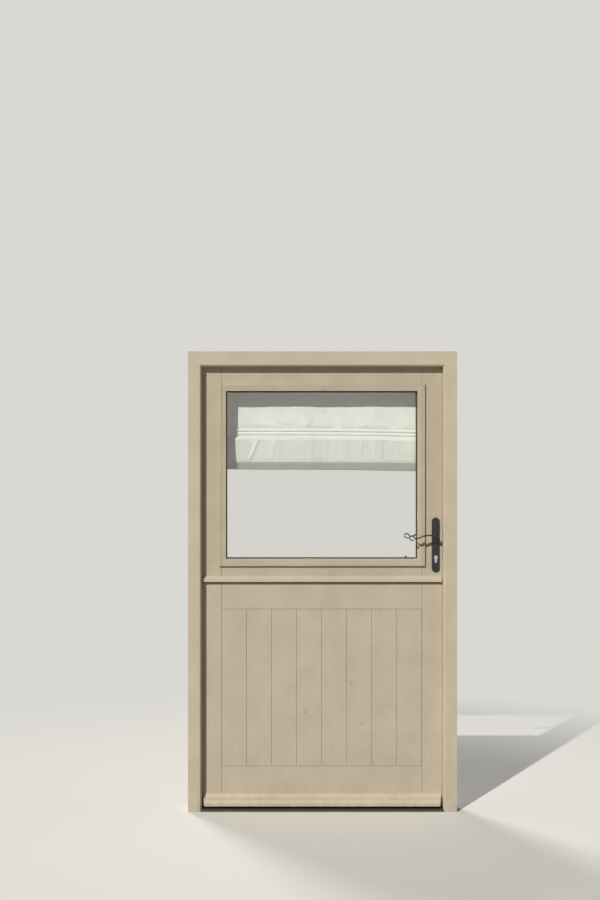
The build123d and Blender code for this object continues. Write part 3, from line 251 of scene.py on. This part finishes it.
def joint_shade_lines(tree, place):
    """1 on the front where the leaves' rails and panel meet the stiles and each other: the painted joint shade."""
    axes = add(tree, "SeparateXYZ", (place,)).outputs
    above = [near_line(tree, axes["Z"], height) for height in (PANEL_HIGH, PANEL_LOW)]
    above = add(tree, "Math", above, operation="MAXIMUM")
    off_centre = add(tree, "Math", (axes["X"],), operation="ABSOLUTE")
    inside = add(tree, "Math", (off_centre, STILE_EDGE), operation="LESS_THAN")
    above = add(tree, "Math", (above, inside), operation="MULTIPLY")
    lines = add(tree, "Math", (near_line(tree, axes["X"], STILE_EDGE), above), operation="MAXIMUM")
    in_front = add(tree, "Math", (axes["Y"], LEAF_FRONT + FRONT_REACH), operation="LESS_THAN")
    return add(tree, "Math", (lines, in_front), operation="MULTIPLY")


def scuffs(tree, place):
    """1 in the middle of each faint scuff on the boards' front, broken up by specks of about 6 mm."""
    specks = add(tree, "TexNoise", {"Vector": place, "Scale": 160.0, "Detail": 3.0})
    total = 0.0
    for x, z, size in SCUFFS:
        off = add(tree, "VectorMath", (place, (x, LEAF_FRONT, z)), operation="DISTANCE").outputs["Value"]
        spot = add(tree, "MapRange", (off, size, size * SCUFF_CORE), **SMOOTH)
        total = add(tree, "Math", (total, spot), operation="MAXIMUM")
    broken = add(tree, "MapRange", (specks, 0.25, 0.55), **SMOOTH)
    return add(tree, "Math", (total, broken), operation="MULTIPLY")


def painted_joinery(name, grain, tones, is_leaf=True):
    """Stone paint brushed on joinery softwood: satin, in two close tones, with fine brush marks along the grain."""
    material, tree, place = new_material(name)
    # Real brush marks are under 1 mm: these are 2.5 mm wide, to be seen, and 110 mm long
    across, along = 400.0, 9.0
    scale = (along, across, across) if grain == "x" else (across, across, along)
    brush = add(tree, "Mapping", {"Vector": place, "Scale": scale})
    brush = add(tree, "TexNoise", {"Vector": brush, "Scale": 1.0, "Detail": 4.0})
    # The coat's thickness changes over about 140 mm
    coat = add(tree, "TexNoise", {"Vector": place, "Scale": 7.0, "Detail": 4.0, "Roughness": 0.6})
    shares = [add(tree, "Math", pair, operation="MULTIPLY") for pair in ((brush, 0.35), (coat, 0.65))]
    tone = add(tree, "Math", shares, operation="ADD")
    tone = add(tree, "MapRange", (tone, 0.36, 0.64), **SMOOTH)
    colour = add(tree, "Mix", {0: tone, 6: tones[0], 7: tones[1]}, **COLOURS).outputs[2]
    # Splashed dirt in patches of about 40 mm, up to 160 mm above the ground
    height = add(tree, "SeparateXYZ", (place,)).outputs["Z"]
    near_ground = add(tree, "MapRange", (height, 0.16, 0.0), **SMOOTH)
    patches = add(tree, "TexNoise", {"Vector": place, "Scale": 26.0, "Detail": 6.0, "Roughness": 0.65})
    patches = add(tree, "MapRange", (patches, 0.42, 0.72), **SMOOTH)
    dirt = add(tree, "Math", (near_ground, patches), operation="MULTIPLY")
    dirt = add(tree, "Math", (dirt, 0.35), operation="MULTIPLY")
    colour = add(tree, "Mix", {0: dirt, 6: colour, 7: "#8C8069"}, **COLOURS).outputs[2]
    if is_leaf:
        # Painted shade in the joint gaps, and scuffed paint in three places
        scuffs_and_joint_shade = [add(tree, "Math", pair, operation="MULTIPLY")
                for pair in ((joint_shade_lines(tree, place), 0.42), (scuffs(tree, place), 0.36))]
        scuffs_and_joint_shade = add(tree, "Math", scuffs_and_joint_shade, operation="MAXIMUM")
        colour = add(tree, "Mix", {0: scuffs_and_joint_shade, 6: colour, 7: "#7A705C"}, **COLOURS).outputs[2]
    gloss = add(tree, "MapRange", (coat, 0.3, 0.7, 0.42, 0.52), **SMOOTH)
    finished_surface(tree, {"Base Color": colour, "Roughness": gloss}, brush, 0.00012)
    return material


def plain_metal(name, code, roughness, metallic=1.0, grain=900.0, depth=0.00002, spread=0.08):
    """A metal or coating of one colour. Its fine grain, as many to the metre as given, shows as relief, and its gloss
    changes in clouds of about 45 mm."""
    material, tree, place = new_material(name)
    fine = add(tree, "TexNoise", {"Vector": place, "Scale": grain, "Detail": 3.0})
    cloud = add(tree, "TexNoise", {"Vector": place, "Scale": 22.0, "Detail": 4.0, "Roughness": 0.6})
    gloss = add(tree, "MapRange", (cloud, 0.3, 0.7, roughness - spread, roughness + spread), **SMOOTH)
    sockets = {"Base Color": code, "Metallic": metallic, "Roughness": gloss}
    finished_surface(tree, sockets, fine, depth)
    return material


def woven_linen():
    """Plain-woven linen, bleached: matt, off-white, with uneven threads and a faint bloom of fibres."""
    material, tree, place = new_material("plain_woven_linen")
    # A real thread is 0.5 mm: these are 1.6 mm, so that the weave can be seen
    threads = [
        add(tree, "TexWave", {"Vector": place, "Scale": 95.0, "Distortion": 0.4}, bands_direction=axis).outputs["Fac"]
        for axis in "XZ"
    ]
    weave = add(tree, "Math", threads, operation="ADD")
    # Thick places in the weft, 2.4 mm high and 33 mm long
    slub = add(tree, "Mapping", {"Vector": place, "Scale": (30.0, 30.0, 420.0)})
    slub = add(tree, "TexNoise", {"Vector": slub, "Scale": 1.0, "Detail": 3.0})
    slub = add(tree, "MapRange", (slub, 0.35, 0.7), **SMOOTH)
    colour = add(tree, "Mix", {0: slub, 6: "#ECECE7", 7: "#F3F3EF"}, **COLOURS).outputs[2]
    # Painted shade: the fold a little darker, and the cloth below its hem line darker still
    height = add(tree, "SeparateXYZ", (place,)).outputs["Z"]
    painted_fold_shade = [
        add(tree, "Math", (add(tree, "MapRange", (height, unshaded, grey), **SMOOTH), most), operation="MULTIPLY")
        for unshaded, grey, most in ((FOLD_TOP + 0.004, FOLD_TOP - 0.008, 0.09), (FOLD_HEM, FOLD_HEM - 0.022, 0.62))
    ]
    painted_fold_shade = add(tree, "Math", painted_fold_shade, operation="MAXIMUM")
    colour = add(tree, "Mix", {0: painted_fold_shade, 6: colour, 7: "#8F8F82"}, **COLOURS).outputs[2]
    finished_surface(tree, {"Base Color": colour, "Roughness": 0.9, "Sheen Weight": 0.2}, weave, 0.00025)
    return material


def float_glass():
    """Clear float glass, poured on tin: flat and even, with a slight grey-green tint from its iron."""
    material, tree, _ = new_material("clear_float_glass")
    sockets = {"Base Color": "#FBFCFB", "Roughness": 0.0, "IOR": 1.52, "Transmission Weight": 1.0}
    surface = add(tree, "BsdfPrincipled", sockets)
    # Light that falls through the panes goes straight on, so that it isn't counted twice on the blind
    straight_on = add(tree, "BsdfTransparent", {"Color": "#FDFEFD"})
    rays = add(tree, "LightPath", ()).outputs
    for ray in ("Is Diffuse Ray", "Is Shadow Ray"):
        surface = add(tree, "MixShader", (rays[ray], surface, straight_on))
    add(tree, "OutputMaterial", {"Surface": surface})
    return material


def extruded_rubber():
    """Black extruded rubber: dull, slightly greyed by dust that lies in patches of about 17 mm."""
    material, tree, place = new_material("extruded_rubber")
    dust = add(tree, "TexNoise", {"Vector": place, "Scale": 60.0, "Detail": 4.0})
    dust = add(tree, "MapRange", (dust, 0.35, 0.75), **SMOOTH)
    colour = add(tree, "Mix", {0: dust, 6: "#131312", 7: "#252422"}, **COLOURS).outputs[2]
    skin = add(tree, "TexNoise", {"Vector": place, "Scale": 700.0, "Detail": 3.0})
    finished_surface(tree, {"Base Color": colour, "Roughness": 0.7}, skin, 0.00003)
    return material


def planed_softwood():
    """Bare planed softwood: matt, in two close tones, with growth lines 4 mm apart that run along it."""
    material, tree, place = new_material("planed_softwood")
    grain = add(tree, "Mapping", {"Vector": place, "Scale": (7.0, 260.0, 260.0)})
    grain = add(tree, "TexNoise", {"Vector": grain, "Scale": 1.0, "Detail": 4.0})
    tone = add(tree, "MapRange", (grain, 0.35, 0.65), **SMOOTH)
    colour = add(tree, "Mix", {0: tone, 6: "#BF9A68", 7: "#D3B283"}, **COLOURS).outputs[2]
    finished_surface(tree, {"Base Color": colour, "Roughness": 0.6}, grain, 0.0001)
    return material


def weathered_aluminium_painted_shade():
    """Mill-finish aluminium with drawing marks of about 1 mm along its length and foot dirt in patches of about 18 mm.
    Its dark grey is partly weathering and partly painted shade."""
    material, tree, place = new_material("mill_aluminium_weathered_and_shaded")
    drawn = add(tree, "Mapping", {"Vector": place, "Scale": (4.0, 900.0, 900.0)})
    drawn = add(tree, "TexNoise", {"Vector": drawn, "Scale": 1.0, "Detail": 3.0})
    dirt = add(tree, "TexNoise", {"Vector": place, "Scale": 55.0, "Detail": 7.0, "Roughness": 0.7})
    dirt = add(tree, "MapRange", (dirt, 0.25, 0.8), **SMOOTH)
    sockets = {
        # Both tones are darkened by painted shade as well as by weathering
        "Base Color": add(tree, "Mix", {0: dirt, 6: "#5E5D57", 7: "#48463F"}, **COLOURS).outputs[2],
        "Metallic": add(tree, "Math", (dirt, -0.3, 0.8), operation="MULTIPLY_ADD"),
        "Roughness": add(tree, "Math", (dirt, 0.15, 0.52), operation="MULTIPLY_ADD"),
    }
    finished_surface(tree, sockets, drawn, 0.00004)
    return material


# One paint in three tones, painted light and shade: lightest on the frame and weatherboard, darkest on the upper leaf
UPPER_TONES = ("#B3A791", "#BBB09A")
LOWER_TONES = ("#B8AC97", "#C0B5A0")
FRAME_TONES = ("#BEB19B", "#C6B9A2")
PAINT_UP = painted_joinery("satin_paint_grain_upright", "z", UPPER_TONES)
PAINT_ACROSS = painted_joinery("satin_paint_grain_across", "x", UPPER_TONES)
LOWER_PAINT_UP = painted_joinery("lower_leaf_paint_grain_upright", "z", LOWER_TONES)
LOWER_PAINT_ACROSS = painted_joinery("lower_leaf_paint_grain_across", "x", LOWER_TONES)
FRAME_PAINT_UP = painted_joinery("frame_paint_grain_upright", "z", FRAME_TONES, is_leaf=False)
FRAME_PAINT_ACROSS = painted_joinery("frame_paint_grain_across", "x", FRAME_TONES, is_leaf=False)
# Powder coat on steel: baked-on black powder, satin, with an orange peel of about 2.4 mm
POWDER_COAT = plain_metal("black_powder_coated_steel", "#232325", 0.42, 0.0, 420.0, 0.00006)
# Satin nickel on brass: brushed after plating, soft warm reflections
NICKEL = plain_metal("satin_nickel_plate", "#D9D3C8", 0.32)
# Zinc-plated steel: bluish grey, patchy gloss
ZINC = plain_metal("zinc_plated_steel", "#C3C6C8", 0.36, spread=0.14)
# Plain brass wire, gone dull in the air
BRASS = plain_metal("dulled_brass_wire", "#B59A5B", 0.4)
# Aluminium spacer between the panes: matt, machine-rolled
SPACER = plain_metal("rolled_aluminium_spacer", "#BDBDBA", 0.5)
GLASS = float_glass()
RUBBER = extruded_rubber()
LINEN = woven_linen()
SOFTWOOD = planed_softwood()
ALUMINIUM = weathered_aluminium_painted_shade()

BOARDS = [name for name in nodes if name.startswith("board_")]
# Every node that isn't named here is an upright, painted piece of the upper leaf
FINISHES = {
    SOFTWOOD: ("blind_headrail", "panel_core"),
    ALUMINIUM: ("threshold",),
    SPACER: ("glass_spacer",),
    RUBBER: ("frame_seal", "lower_leaf_seals"),
    GLASS: ("glass_outer_pane", "glass_inner_pane"),
    LINEN: ("blind_fabric",),
    POWDER_COAT: (
        "outer_backplate", "inner_backplate", "outer_lever", "inner_lever", "coupling_bolt",
        "coupling_bolt_plate", "coupling_bolt_keep", "lower_bolt", "lower_bolt_plate", "lower_bolt_keep",
    ),
    NICKEL: ("lock_cylinder", "cylinder_plug"),
    BRASS: ("bead_hook",),
    ZINC: (
        "lock_keep", "hinge_frame_leaves", "hinge_pins", "frame_screws", "upper_hinge_leaves", "lock_case",
        "upper_leaf_screws", "lower_hinge_leaves", "lower_leaf_screws", "lever_spindle", "latch_bolt", "dead_bolt",
    ),
    PAINT_ACROSS: ("upper_top_rail", "meeting_rail", "bead_top", "bead_bottom"),
    LOWER_PAINT_UP: ("lower_stile_hinge_side", "lower_stile_lock_side", "panel_lining", *BOARDS),
    LOWER_PAINT_ACROSS: ("lower_top_rail", "bottom_rail"),
    FRAME_PAINT_UP: ("jamb_hinge_side", "jamb_lock_side"),
    FRAME_PAINT_ACROSS: ("frame_head", "drip_bar", "weatherboard"),
}
finish_of = {name: material for material, names in FINISHES.items() for name in names}
for name, piece in nodes.items():
    piece.data.materials.clear()
    piece.data.materials.append(finish_of.get(name, PAINT_UP))


# New pieces

def grid_faces(rows, columns, closed=False):
    """Quads of a grid of rows by columns of points, the last column joined to the first if closed."""
    row, column = np.meshgrid(np.arange(rows - 1), np.arange(columns if closed else columns - 1), indexing="ij")
    beside = (column + 1) % columns
    corners = (row * columns + column, row * columns + beside, (row + 1) * columns + beside,
               (row + 1) * columns + column)
    return np.stack([corner.ravel() for corner in corners], axis=1)


def new_piece(name, points, faces, material):
    """An object of those points and faces, with smooth shading and one material."""
    mesh = bpy.data.meshes.new(name)
    mesh.from_pydata(points.tolist(), [], faces.tolist())
    mesh.polygons.foreach_set("use_smooth", np.ones(len(faces), dtype=bool))
    mesh.materials.append(material)
    mesh.update()
    piece = bpy.data.objects.new(name, mesh)
    bpy.context.scene.collection.objects.link(piece)
    return piece


def weld(piece):
    """Merges points that lie on each other, as at the poles."""
    mesh = bmesh.new()
    mesh.from_mesh(piece.data)
    bmesh.ops.remove_doubles(mesh, verts=mesh.verts, dist=SAME_SPOT)
    mesh.to_mesh(piece.data)
    mesh.free()


def sharpen(piece, degrees):
    """Keeps every edge sharper than that angle crisp under smooth shading."""
    piece.data.set_sharp_from_angle(angle=math.radians(degrees))


def strip_round_glass(name, section, material):
    """A mitred strip round the glass. Each (out, y) point of its section is a rectangle, larger than the sight line
    by out on every side and at the depth y, and the section closes on itself. The four sides come in the order
    bottom, right, top, left."""
    out, depth = section.T
    side = np.array([-1, 1, 1, -1])[:, None]
    above = np.array([-1, -1, 1, 1])[:, None]
    x = side * (SIGHT_HALF + out)
    z = (SIGHT_LOW + SIGHT_HIGH) / 2 + above * ((SIGHT_HIGH - SIGHT_LOW) / 2 + out)
    points = np.stack([x, np.broadcast_to(depth, x.shape), z], axis=-1).reshape(-1, 3)
    faces = grid_faces(4, len(section), closed=True)
    # The left side goes from the last rectangle back to the first
    last = grid_faces(2, len(section), closed=True)
    last = np.where(last < len(section), last + 3 * len(section), last - len(section))
    return new_piece(name, points, np.concatenate([faces, last])[:, ::-1], material)


def glazing_beads(pane_front):
    """Raised beads round the glass. Their section goes from the glass out to the tail, over the leaf's front, round
    the outer edge by a quarter circle, over the ridge and its small quirk, down the face, which falls evenly towards
    the glass, and round the nose by a quarter circle. Points across the face keep its shading even."""
    proud = LEAF_FRONT - BEAD_PROUD
    back = pane_front - BEAD_OFF_GLASS
    ridge_end = BEAD_WIDTH - BEAD_RIDGE
    turn = np.linspace(0, math.pi / 2, 5)
    share = np.linspace(0, 1, 9)
    nose = turn[1:]
    section = np.concatenate([
        [(0, back), (BEAD_TAIL, back), (BEAD_TAIL, LEAF_FRONT), (BEAD_WIDTH, LEAF_FRONT)],
        np.stack([BEAD_WIDTH - BEAD_ROUND * (1 - np.cos(turn)), proud + BEAD_ROUND * (1 - np.sin(turn))], axis=1),
        [(ridge_end, proud)],
        np.stack([ridge_end + (BEAD_NOSE - ridge_end) * share,
                  proud + BEAD_QUIRK + (BEAD_FALL - BEAD_QUIRK) * share], axis=1),
        np.stack([BEAD_NOSE * (1 - np.sin(nose)), proud + BEAD_FALL + BEAD_NOSE * (1 - np.cos(nose))], axis=1),
    ])
    beads = strip_round_glass("glazing_beads", section, PAINT_ACROSS)
    beads.data.materials.append(PAINT_UP)
    # The paint's grain runs across on the bottom and top bead, and upright on the right and left one
    grain = np.repeat([0, 1, 0, 1], len(section))
    beads.data.polygons.foreach_set("material_index", grain)
    sharpen(beads, 35)
    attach(beads, "upper_leaf")
    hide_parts("bead_left", "bead_right", "bead_top", "bead_bottom")


def glazing_gasket(pane_front):
    """Rubber line round the glass. Its section is half an ellipse that stands on the glass, part of it hidden behind
    the beads."""
    turn = np.linspace(0, math.pi, 9)
    half = (GASKET_SHOWN + GASKET_HIDDEN) / 2
    section = np.stack([GASKET_HIDDEN - half * (1 - np.cos(turn)), pane_front - GASKET_PROUD * np.sin(turn)], axis=1)
    gasket = strip_round_glass("glazing_gasket", section, RUBBER)
    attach(gasket, "upper_leaf")


def arc(start, end, heading, count=17):
    """Points on the arc from start to end that leaves in the heading, an angle, and the heading at its end: the
    chord turns from the heading by half of what the arc turns."""
    chord = math.atan2(end[1] - start[1], end[0] - start[0])
    half = (chord - heading + math.pi) % (2 * math.pi) - math.pi
    radius = math.dist(start, end) / (2 * math.sin(half))
    angle = heading + 2 * half * np.linspace(0, 1, count)
    x = start[0] + radius * (np.sin(angle) - math.sin(heading))
    y = start[1] - radius * (np.cos(angle) - math.cos(heading))
    return np.stack([x, y], axis=1), heading + 2 * half


def lever_line():
    """The bar's middle line: one arc through the crest, then arcs that each go on from the last one's heading. The
    first arc's centre is as far from the neck as from the crest and from the arc's end."""
    (bx, by), (cx, cy) = LEVER_CREST, LEVER_PATH[1]
    centre = np.linalg.solve([[2 * bx, 2 * by], [2 * cx, 2 * cy]], [bx**2 + by**2, cx**2 + cy**2])
    heading = math.atan2(centre[0], -centre[1])
    parts = []
    for start, end in zip(LEVER_PATH[:-1], LEVER_PATH[1:]):
        points, heading = arc(start, end, heading)
        parts.append(points[bool(parts):])
    return np.concatenate(parts)


def lever_bar():
    """The flat bar: a rounded rectangle, deep from front to back, swept along the middle line and tapered evenly to
    its tip. One point closes it inside the neck, and rings that shrink as they go on close its tip."""
    line = lever_line()
    step = np.gradient(line, axis=0)
    step = step / np.hypot(*step.T)[:, None]
    normal = np.stack([-step[:, 1], step[:, 0]], axis=1)
    run = np.concatenate([[0], np.cumsum(np.hypot(*np.diff(line, axis=0).T))])
    share = (run / run[-1])[:, None]
    deep, thick = (root + (tip - root) * share for root, tip in zip(LEVER_ROOT, LEVER_TIP))
    angle = np.linspace(0, 2 * math.pi, BAR_SIDES, endpoint=False)
    across, up = (np.sign(wave) * np.abs(wave) ** BAR_POWER for wave in (np.cos(angle), np.sin(angle)))
    bar = np.stack([
        line[:, :1] + normal[:, :1] * thick * up,
        LEVER_DEPTH + deep * across,
        line[:, 1:] + normal[:, 1:] * thick * up,
    ], axis=-1)
    forward, shrink = (np.array(part)[:, None, None] for part in zip(*TIP_RINGS))
    middle = np.array([line[-1, 0], LEVER_DEPTH, line[-1, 1]])
    ahead = np.array([step[-1, 0], 0, step[-1, 1]])
    tip = middle + forward * ahead + shrink * (bar[-1] - middle)
    root = np.broadcast_to(bar[0].mean(axis=0), (1, BAR_SIDES, 3))
    return np.concatenate([root, bar, tip])


def lever_neck():
    """The turned neck: its outline of radii r(y), lathed round the spindle's axis."""
    y, radius = (np.array(part)[:, None] for part in zip(*LEVER_NECK))
    around = np.linspace(0, 2 * math.pi, NECK_SIDES, endpoint=False)
    return np.stack(np.broadcast_arrays(radius * np.cos(around), y, radius * np.sin(around)), axis=-1)


def lever(name, node, is_inner):
    """A neck and a bar on the spindle's axis, the bar towards the hinges. The inner lever is the outer one mirrored in
    the leaf's middle plane. Each mirroring turns the faces round, so the outer lever's are turned back."""
    bar, neck = lever_bar(), lever_neck()
    points = np.concatenate([bar.reshape(-1, 3), neck.reshape(-1, 3)])
    neck_faces = grid_faces(len(neck), NECK_SIDES, closed=True) + len(bar) * BAR_SIDES
    faces = np.concatenate([grid_faces(len(bar), BAR_SIDES, closed=True), neck_faces])
    points = points * (-1, 1, 1) + (LEVER_AXIS[0], 0, LEVER_AXIS[1])
    if is_inner:
        points = points * (1, -1, 1) + (0, 2 * LEAF_MIDDLE, 0)
    else:
        faces = faces[:, ::-1]
    piece = new_piece(name, points, faces, POWDER_COAT)
    weld(piece)
    sharpen(piece, 50)
    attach(piece, "lever")
    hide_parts(node)


def smooth_step(value):
    """0 below 0, 1 above 1, and 3v^2 - 2v^3 between."""
    value = np.clip(value, 0, 1)
    return value * value * (3 - 2 * value)


def waves(x, z, terms):
    """The sum of height * sin(across * x + up * z + shift) over the terms."""
    return sum(height * np.sin(across * x + up * z + shift) for height, across, up, shift in terms)


def crease(x, z, start, end, width):
    """exp(-(d / width)^2), d the distance of (x, z) from the line between start and end."""
    (x0, z0), (x1, z1) = start, end
    share = np.clip(((x - x0) * (x1 - x0) + (z - z0) * (z1 - z0)) / ((x1 - x0) ** 2 + (z1 - z0) ** 2), 0, 1)
    return np.exp(-((x - x0 - share * (x1 - x0)) ** 2 + (z - z0 - share * (z1 - z0)) ** 2) / width ** 2)


def cloth_path():
    """The cloth's path from the top of the headrail, as (y, z) points: straight down, out round each tuck as half an
    ellipse, out over the shoulder by 3s^2 - 2s^3, down to the groove of the hem line, back under, up behind to the
    rod, over it and down to the lower hem."""
    points = [(CLOTH_PLANE, BLIND_TOP)]
    for height in TUCK_HEIGHTS:
        angle = np.linspace(0, math.pi, 15)
        points += list(zip(CLOTH_PLANE - TUCK_DEPTH * np.sin(angle), height + TUCK_HALF * np.cos(angle)))
    share = np.linspace(0, 1, 15)
    points += list(zip(CLOTH_PLANE - (CLOTH_PLANE - FOLD_FRONT) * smooth_step(share),
                       FOLD_TOP + (FOLD_SHOULDER - FOLD_TOP) * share))
    hem = FOLD_FRONT + HEM_SET_BACK
    bottom = hem + UNDERCUT
    behind = CLOTH_PLANE + BEHIND
    points += [(hem, FOLD_HEM + HEM_HALF), (hem + HEM_GROOVE, FOLD_HEM), (hem + HEM_BELOW, FOLD_HEM - HEM_HALF)]
    points += [(bottom, FOLD_BOTTOM + BOTTOM_TURN[1]), (bottom + BOTTOM_TURN[0], FOLD_BOTTOM)]
    points += [(behind, FOLD_BOTTOM + BEHIND_LOW), (behind, ROD_HEIGHT - ROD_ROUND)]
    points += [(behind + ROD_HALF, ROD_HEIGHT), (behind + 2 * ROD_HALF, ROD_HEIGHT - ROD_ROUND)]
    points += [(behind + 2 * ROD_HALF, HEM_BOTTOM)]
    return np.array(points)


def even_path(points, step):
    """The path with points at even distances near step, and its length."""
    length = np.concatenate([[0], np.cumsum(np.hypot(*np.diff(points, axis=0).T))])
    keep = np.concatenate([[True], np.diff(length) > SAME_SPOT])
    points, length = points[keep], length[keep]
    at = np.linspace(0, length[-1], int(length[-1] / step) + 1)
    return np.stack([np.interp(at, length, points[:, k]) for k in range(2)], axis=1), float(length[-1])


def linen_blind():
    """The cloth: its path, at every x across the width. Its y is moved by the waves of the soft folds, less the pressed
    creases, plus rucks of sin(150 x + 2 sin 23 x), all of them growing from nothing below the headrail, and less the
    slack's bulge and ripples above the tucks. Its z is moved by a slow sine, less a sag that grows with x."""
    path, cloth_length = even_path(cloth_path(), CLOTH_STEP)
    x = np.linspace(-BLIND_HALF, BLIND_HALF, CLOTH_COLUMNS)[None, :]
    y, z = path[:, :1], path[:, 1:]
    hang = smooth_step((BLIND_TOP - HELD_FLAT - z) / HANG_GROWS)
    # 1 on the front, down to the lowest point of the path, and 0 behind
    front = (np.arange(len(path)) < np.argmin(path[:, 1]))[:, None]
    pressed = sum(height * crease(x, z, start, end, width) for start, end, width, height in CREASES) * front
    slack = smooth_step((SLACK_TOP - z) / SLACK_TOP_GROWS) * smooth_step((z - SLACK_FOOT) / SLACK_FOOT_GROWS) * front
    ripple = slack * (SLACK_BULGE + waves(x, z, RIPPLES))
    rucks = RUCK_HEIGHT * np.sin(RUCK_TURNS * x + RUCK_CROWD[0] * np.sin(RUCK_CROWD[1] * x))
    rucks = rucks * smooth_step((FOLD_TOP - z) / RUCK_GROWS) * front
    shift = (waves(x, z, SOFT_FOLDS) - CREASE_DEPTH * pressed + rucks) * hang - ripple
    sag = SAG_WAVE * np.sin(7 * x + 1) - SAG * (x + BLIND_HALF) / BLIND_HALF
    points = np.stack(np.broadcast_arrays(x, y + shift, z + sag * hang), axis=-1).reshape(-1, 3)
    cloth = new_piece("linen_blind", points, grid_faces(len(path), CLOTH_COLUMNS), LINEN)
    thickness = cloth.modifiers.new("cloth", "SOLIDIFY")
    thickness.thickness = BLIND_CLOTH
    thickness.offset = 0
    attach(cloth, "upper_leaf")
    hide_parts("blind_fabric")


glass_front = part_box("glass_outer_pane")[0].y
glazing_beads(glass_front)
glazing_gasket(glass_front)
lever("outer_strap_lever", "outer_lever", is_inner=False)
lever("inner_strap_lever", "inner_lever", is_inner=True)
linen_blind()


# Floor, light and camera

def seen_directly(tree):
    """1 for camera, glossy and transmission rays that have met no dull surface yet, 0 for the rest."""
    rays = add(tree, "LightPath", ()).outputs
    total = add(tree, "Math", (rays["Is Camera Ray"], rays["Is Glossy Ray"]), operation="ADD")
    total = add(tree, "Math", (total, rays["Is Transmission Ray"]), operation="ADD")
    total = add(tree, "Math", (total, 1.0), operation="MINIMUM")
    return add(tree, "Math", (total, rays["Diffuse Depth"]), operation="GREATER_THAN")


def plain_floor():
    """A flat pale floor that fades into the background away from the door. The light that it throws back on the door
    is that of a darker floor."""
    material, tree, place = new_material("plain_floor")
    colour = add(tree, "Mix", {0: seen_directly(tree), 6: "#A09D97", 7: "#E6E3DE"}, **COLOURS).outputs[2]
    dull = add(tree, "BsdfDiffuse", {"Color": colour})
    background = add(tree, "Emission", {"Color": BACKGROUND_CODE, "Strength": 1.0})
    reach = add(tree, "VectorMath", (place,), operation="LENGTH").outputs["Value"]
    fade = add(tree, "MapRange", (reach, *FLOOR_FADE), **SMOOTH)
    fade = add(tree, "Math", (fade, seen_directly(tree)), operation="MULTIPLY")
    add(tree, "OutputMaterial", {"Surface": add(tree, "MixShader", (fade, dull, background))})
    corners = np.array([(-1, -1, 0), (1, -1, 0), (1, 1, 0), (-1, 1, 0)]) * FLOOR_HALF - (0, 0, FLOOR_DROP)
    floor = new_piece("floor", corners, np.array([(0, 1, 2, 3)]), material)


def plain_studio():
    """A faint even light from all round, and a pale background where it is seen directly."""
    world = bpy.data.worlds.new("plain_studio")
    world.use_nodes = True
    bpy.context.scene.world = world
    tree = world.node_tree
    tree.nodes.clear()
    fill = add(tree, "Background", {"Color": "#F2F5FA", "Strength": 0.12})
    background = add(tree, "Background", {"Color": BACKGROUND_CODE, "Strength": 1.0})
    surface = add(tree, "MixShader", (seen_directly(tree), fill, background))
    add(tree, "OutputWorld", {"Surface": surface})


def new_sun(name, direction, strength, spread, code):
    """A distant lamp that shines along the direction, with soft edges of that spread in degrees."""
    lamp = bpy.data.lights.new(name, "SUN")
    lamp.energy = strength
    lamp.angle = math.radians(spread)
    lamp.color = to_linear(code)[:3]
    holder = bpy.data.objects.new(name, lamp)
    bpy.context.scene.collection.objects.link(holder)
    away = -np.array(direction) / np.linalg.norm(direction)
    holder.rotation_euler = (math.acos(away[2]), 0, math.atan2(away[1], away[0]) + math.pi / 2)


def level_camera():
    """A level view from in front of the hinge side, framed as in the photograph."""
    camera = bpy.data.cameras.new("camera")
    camera.lens = CAMERA_LENS
    camera.shift_x = CAMERA_SHIFT
    holder = bpy.data.objects.new("camera", camera)
    holder.location = CAMERA_PLACE
    holder.rotation_euler = (math.radians(90), 0, 0)
    bpy.context.scene.collection.objects.link(holder)
    bpy.context.scene.camera = holder


plain_floor()
plain_studio()
# A sun from the upper left in front, as the shadows in the photograph fall, and a weaker, broad lamp for the back
new_sun("key_lamp", (0.6, 1.0, -0.73), 3.3, 0.8, "#FFFDF8")
new_sun("back_lamp", (0.5, -1.0, -0.6), 2.0, 20.0, "#FFFFFF")
level_camera()
bpy.context.scene.view_settings.view_transform = "Standard"
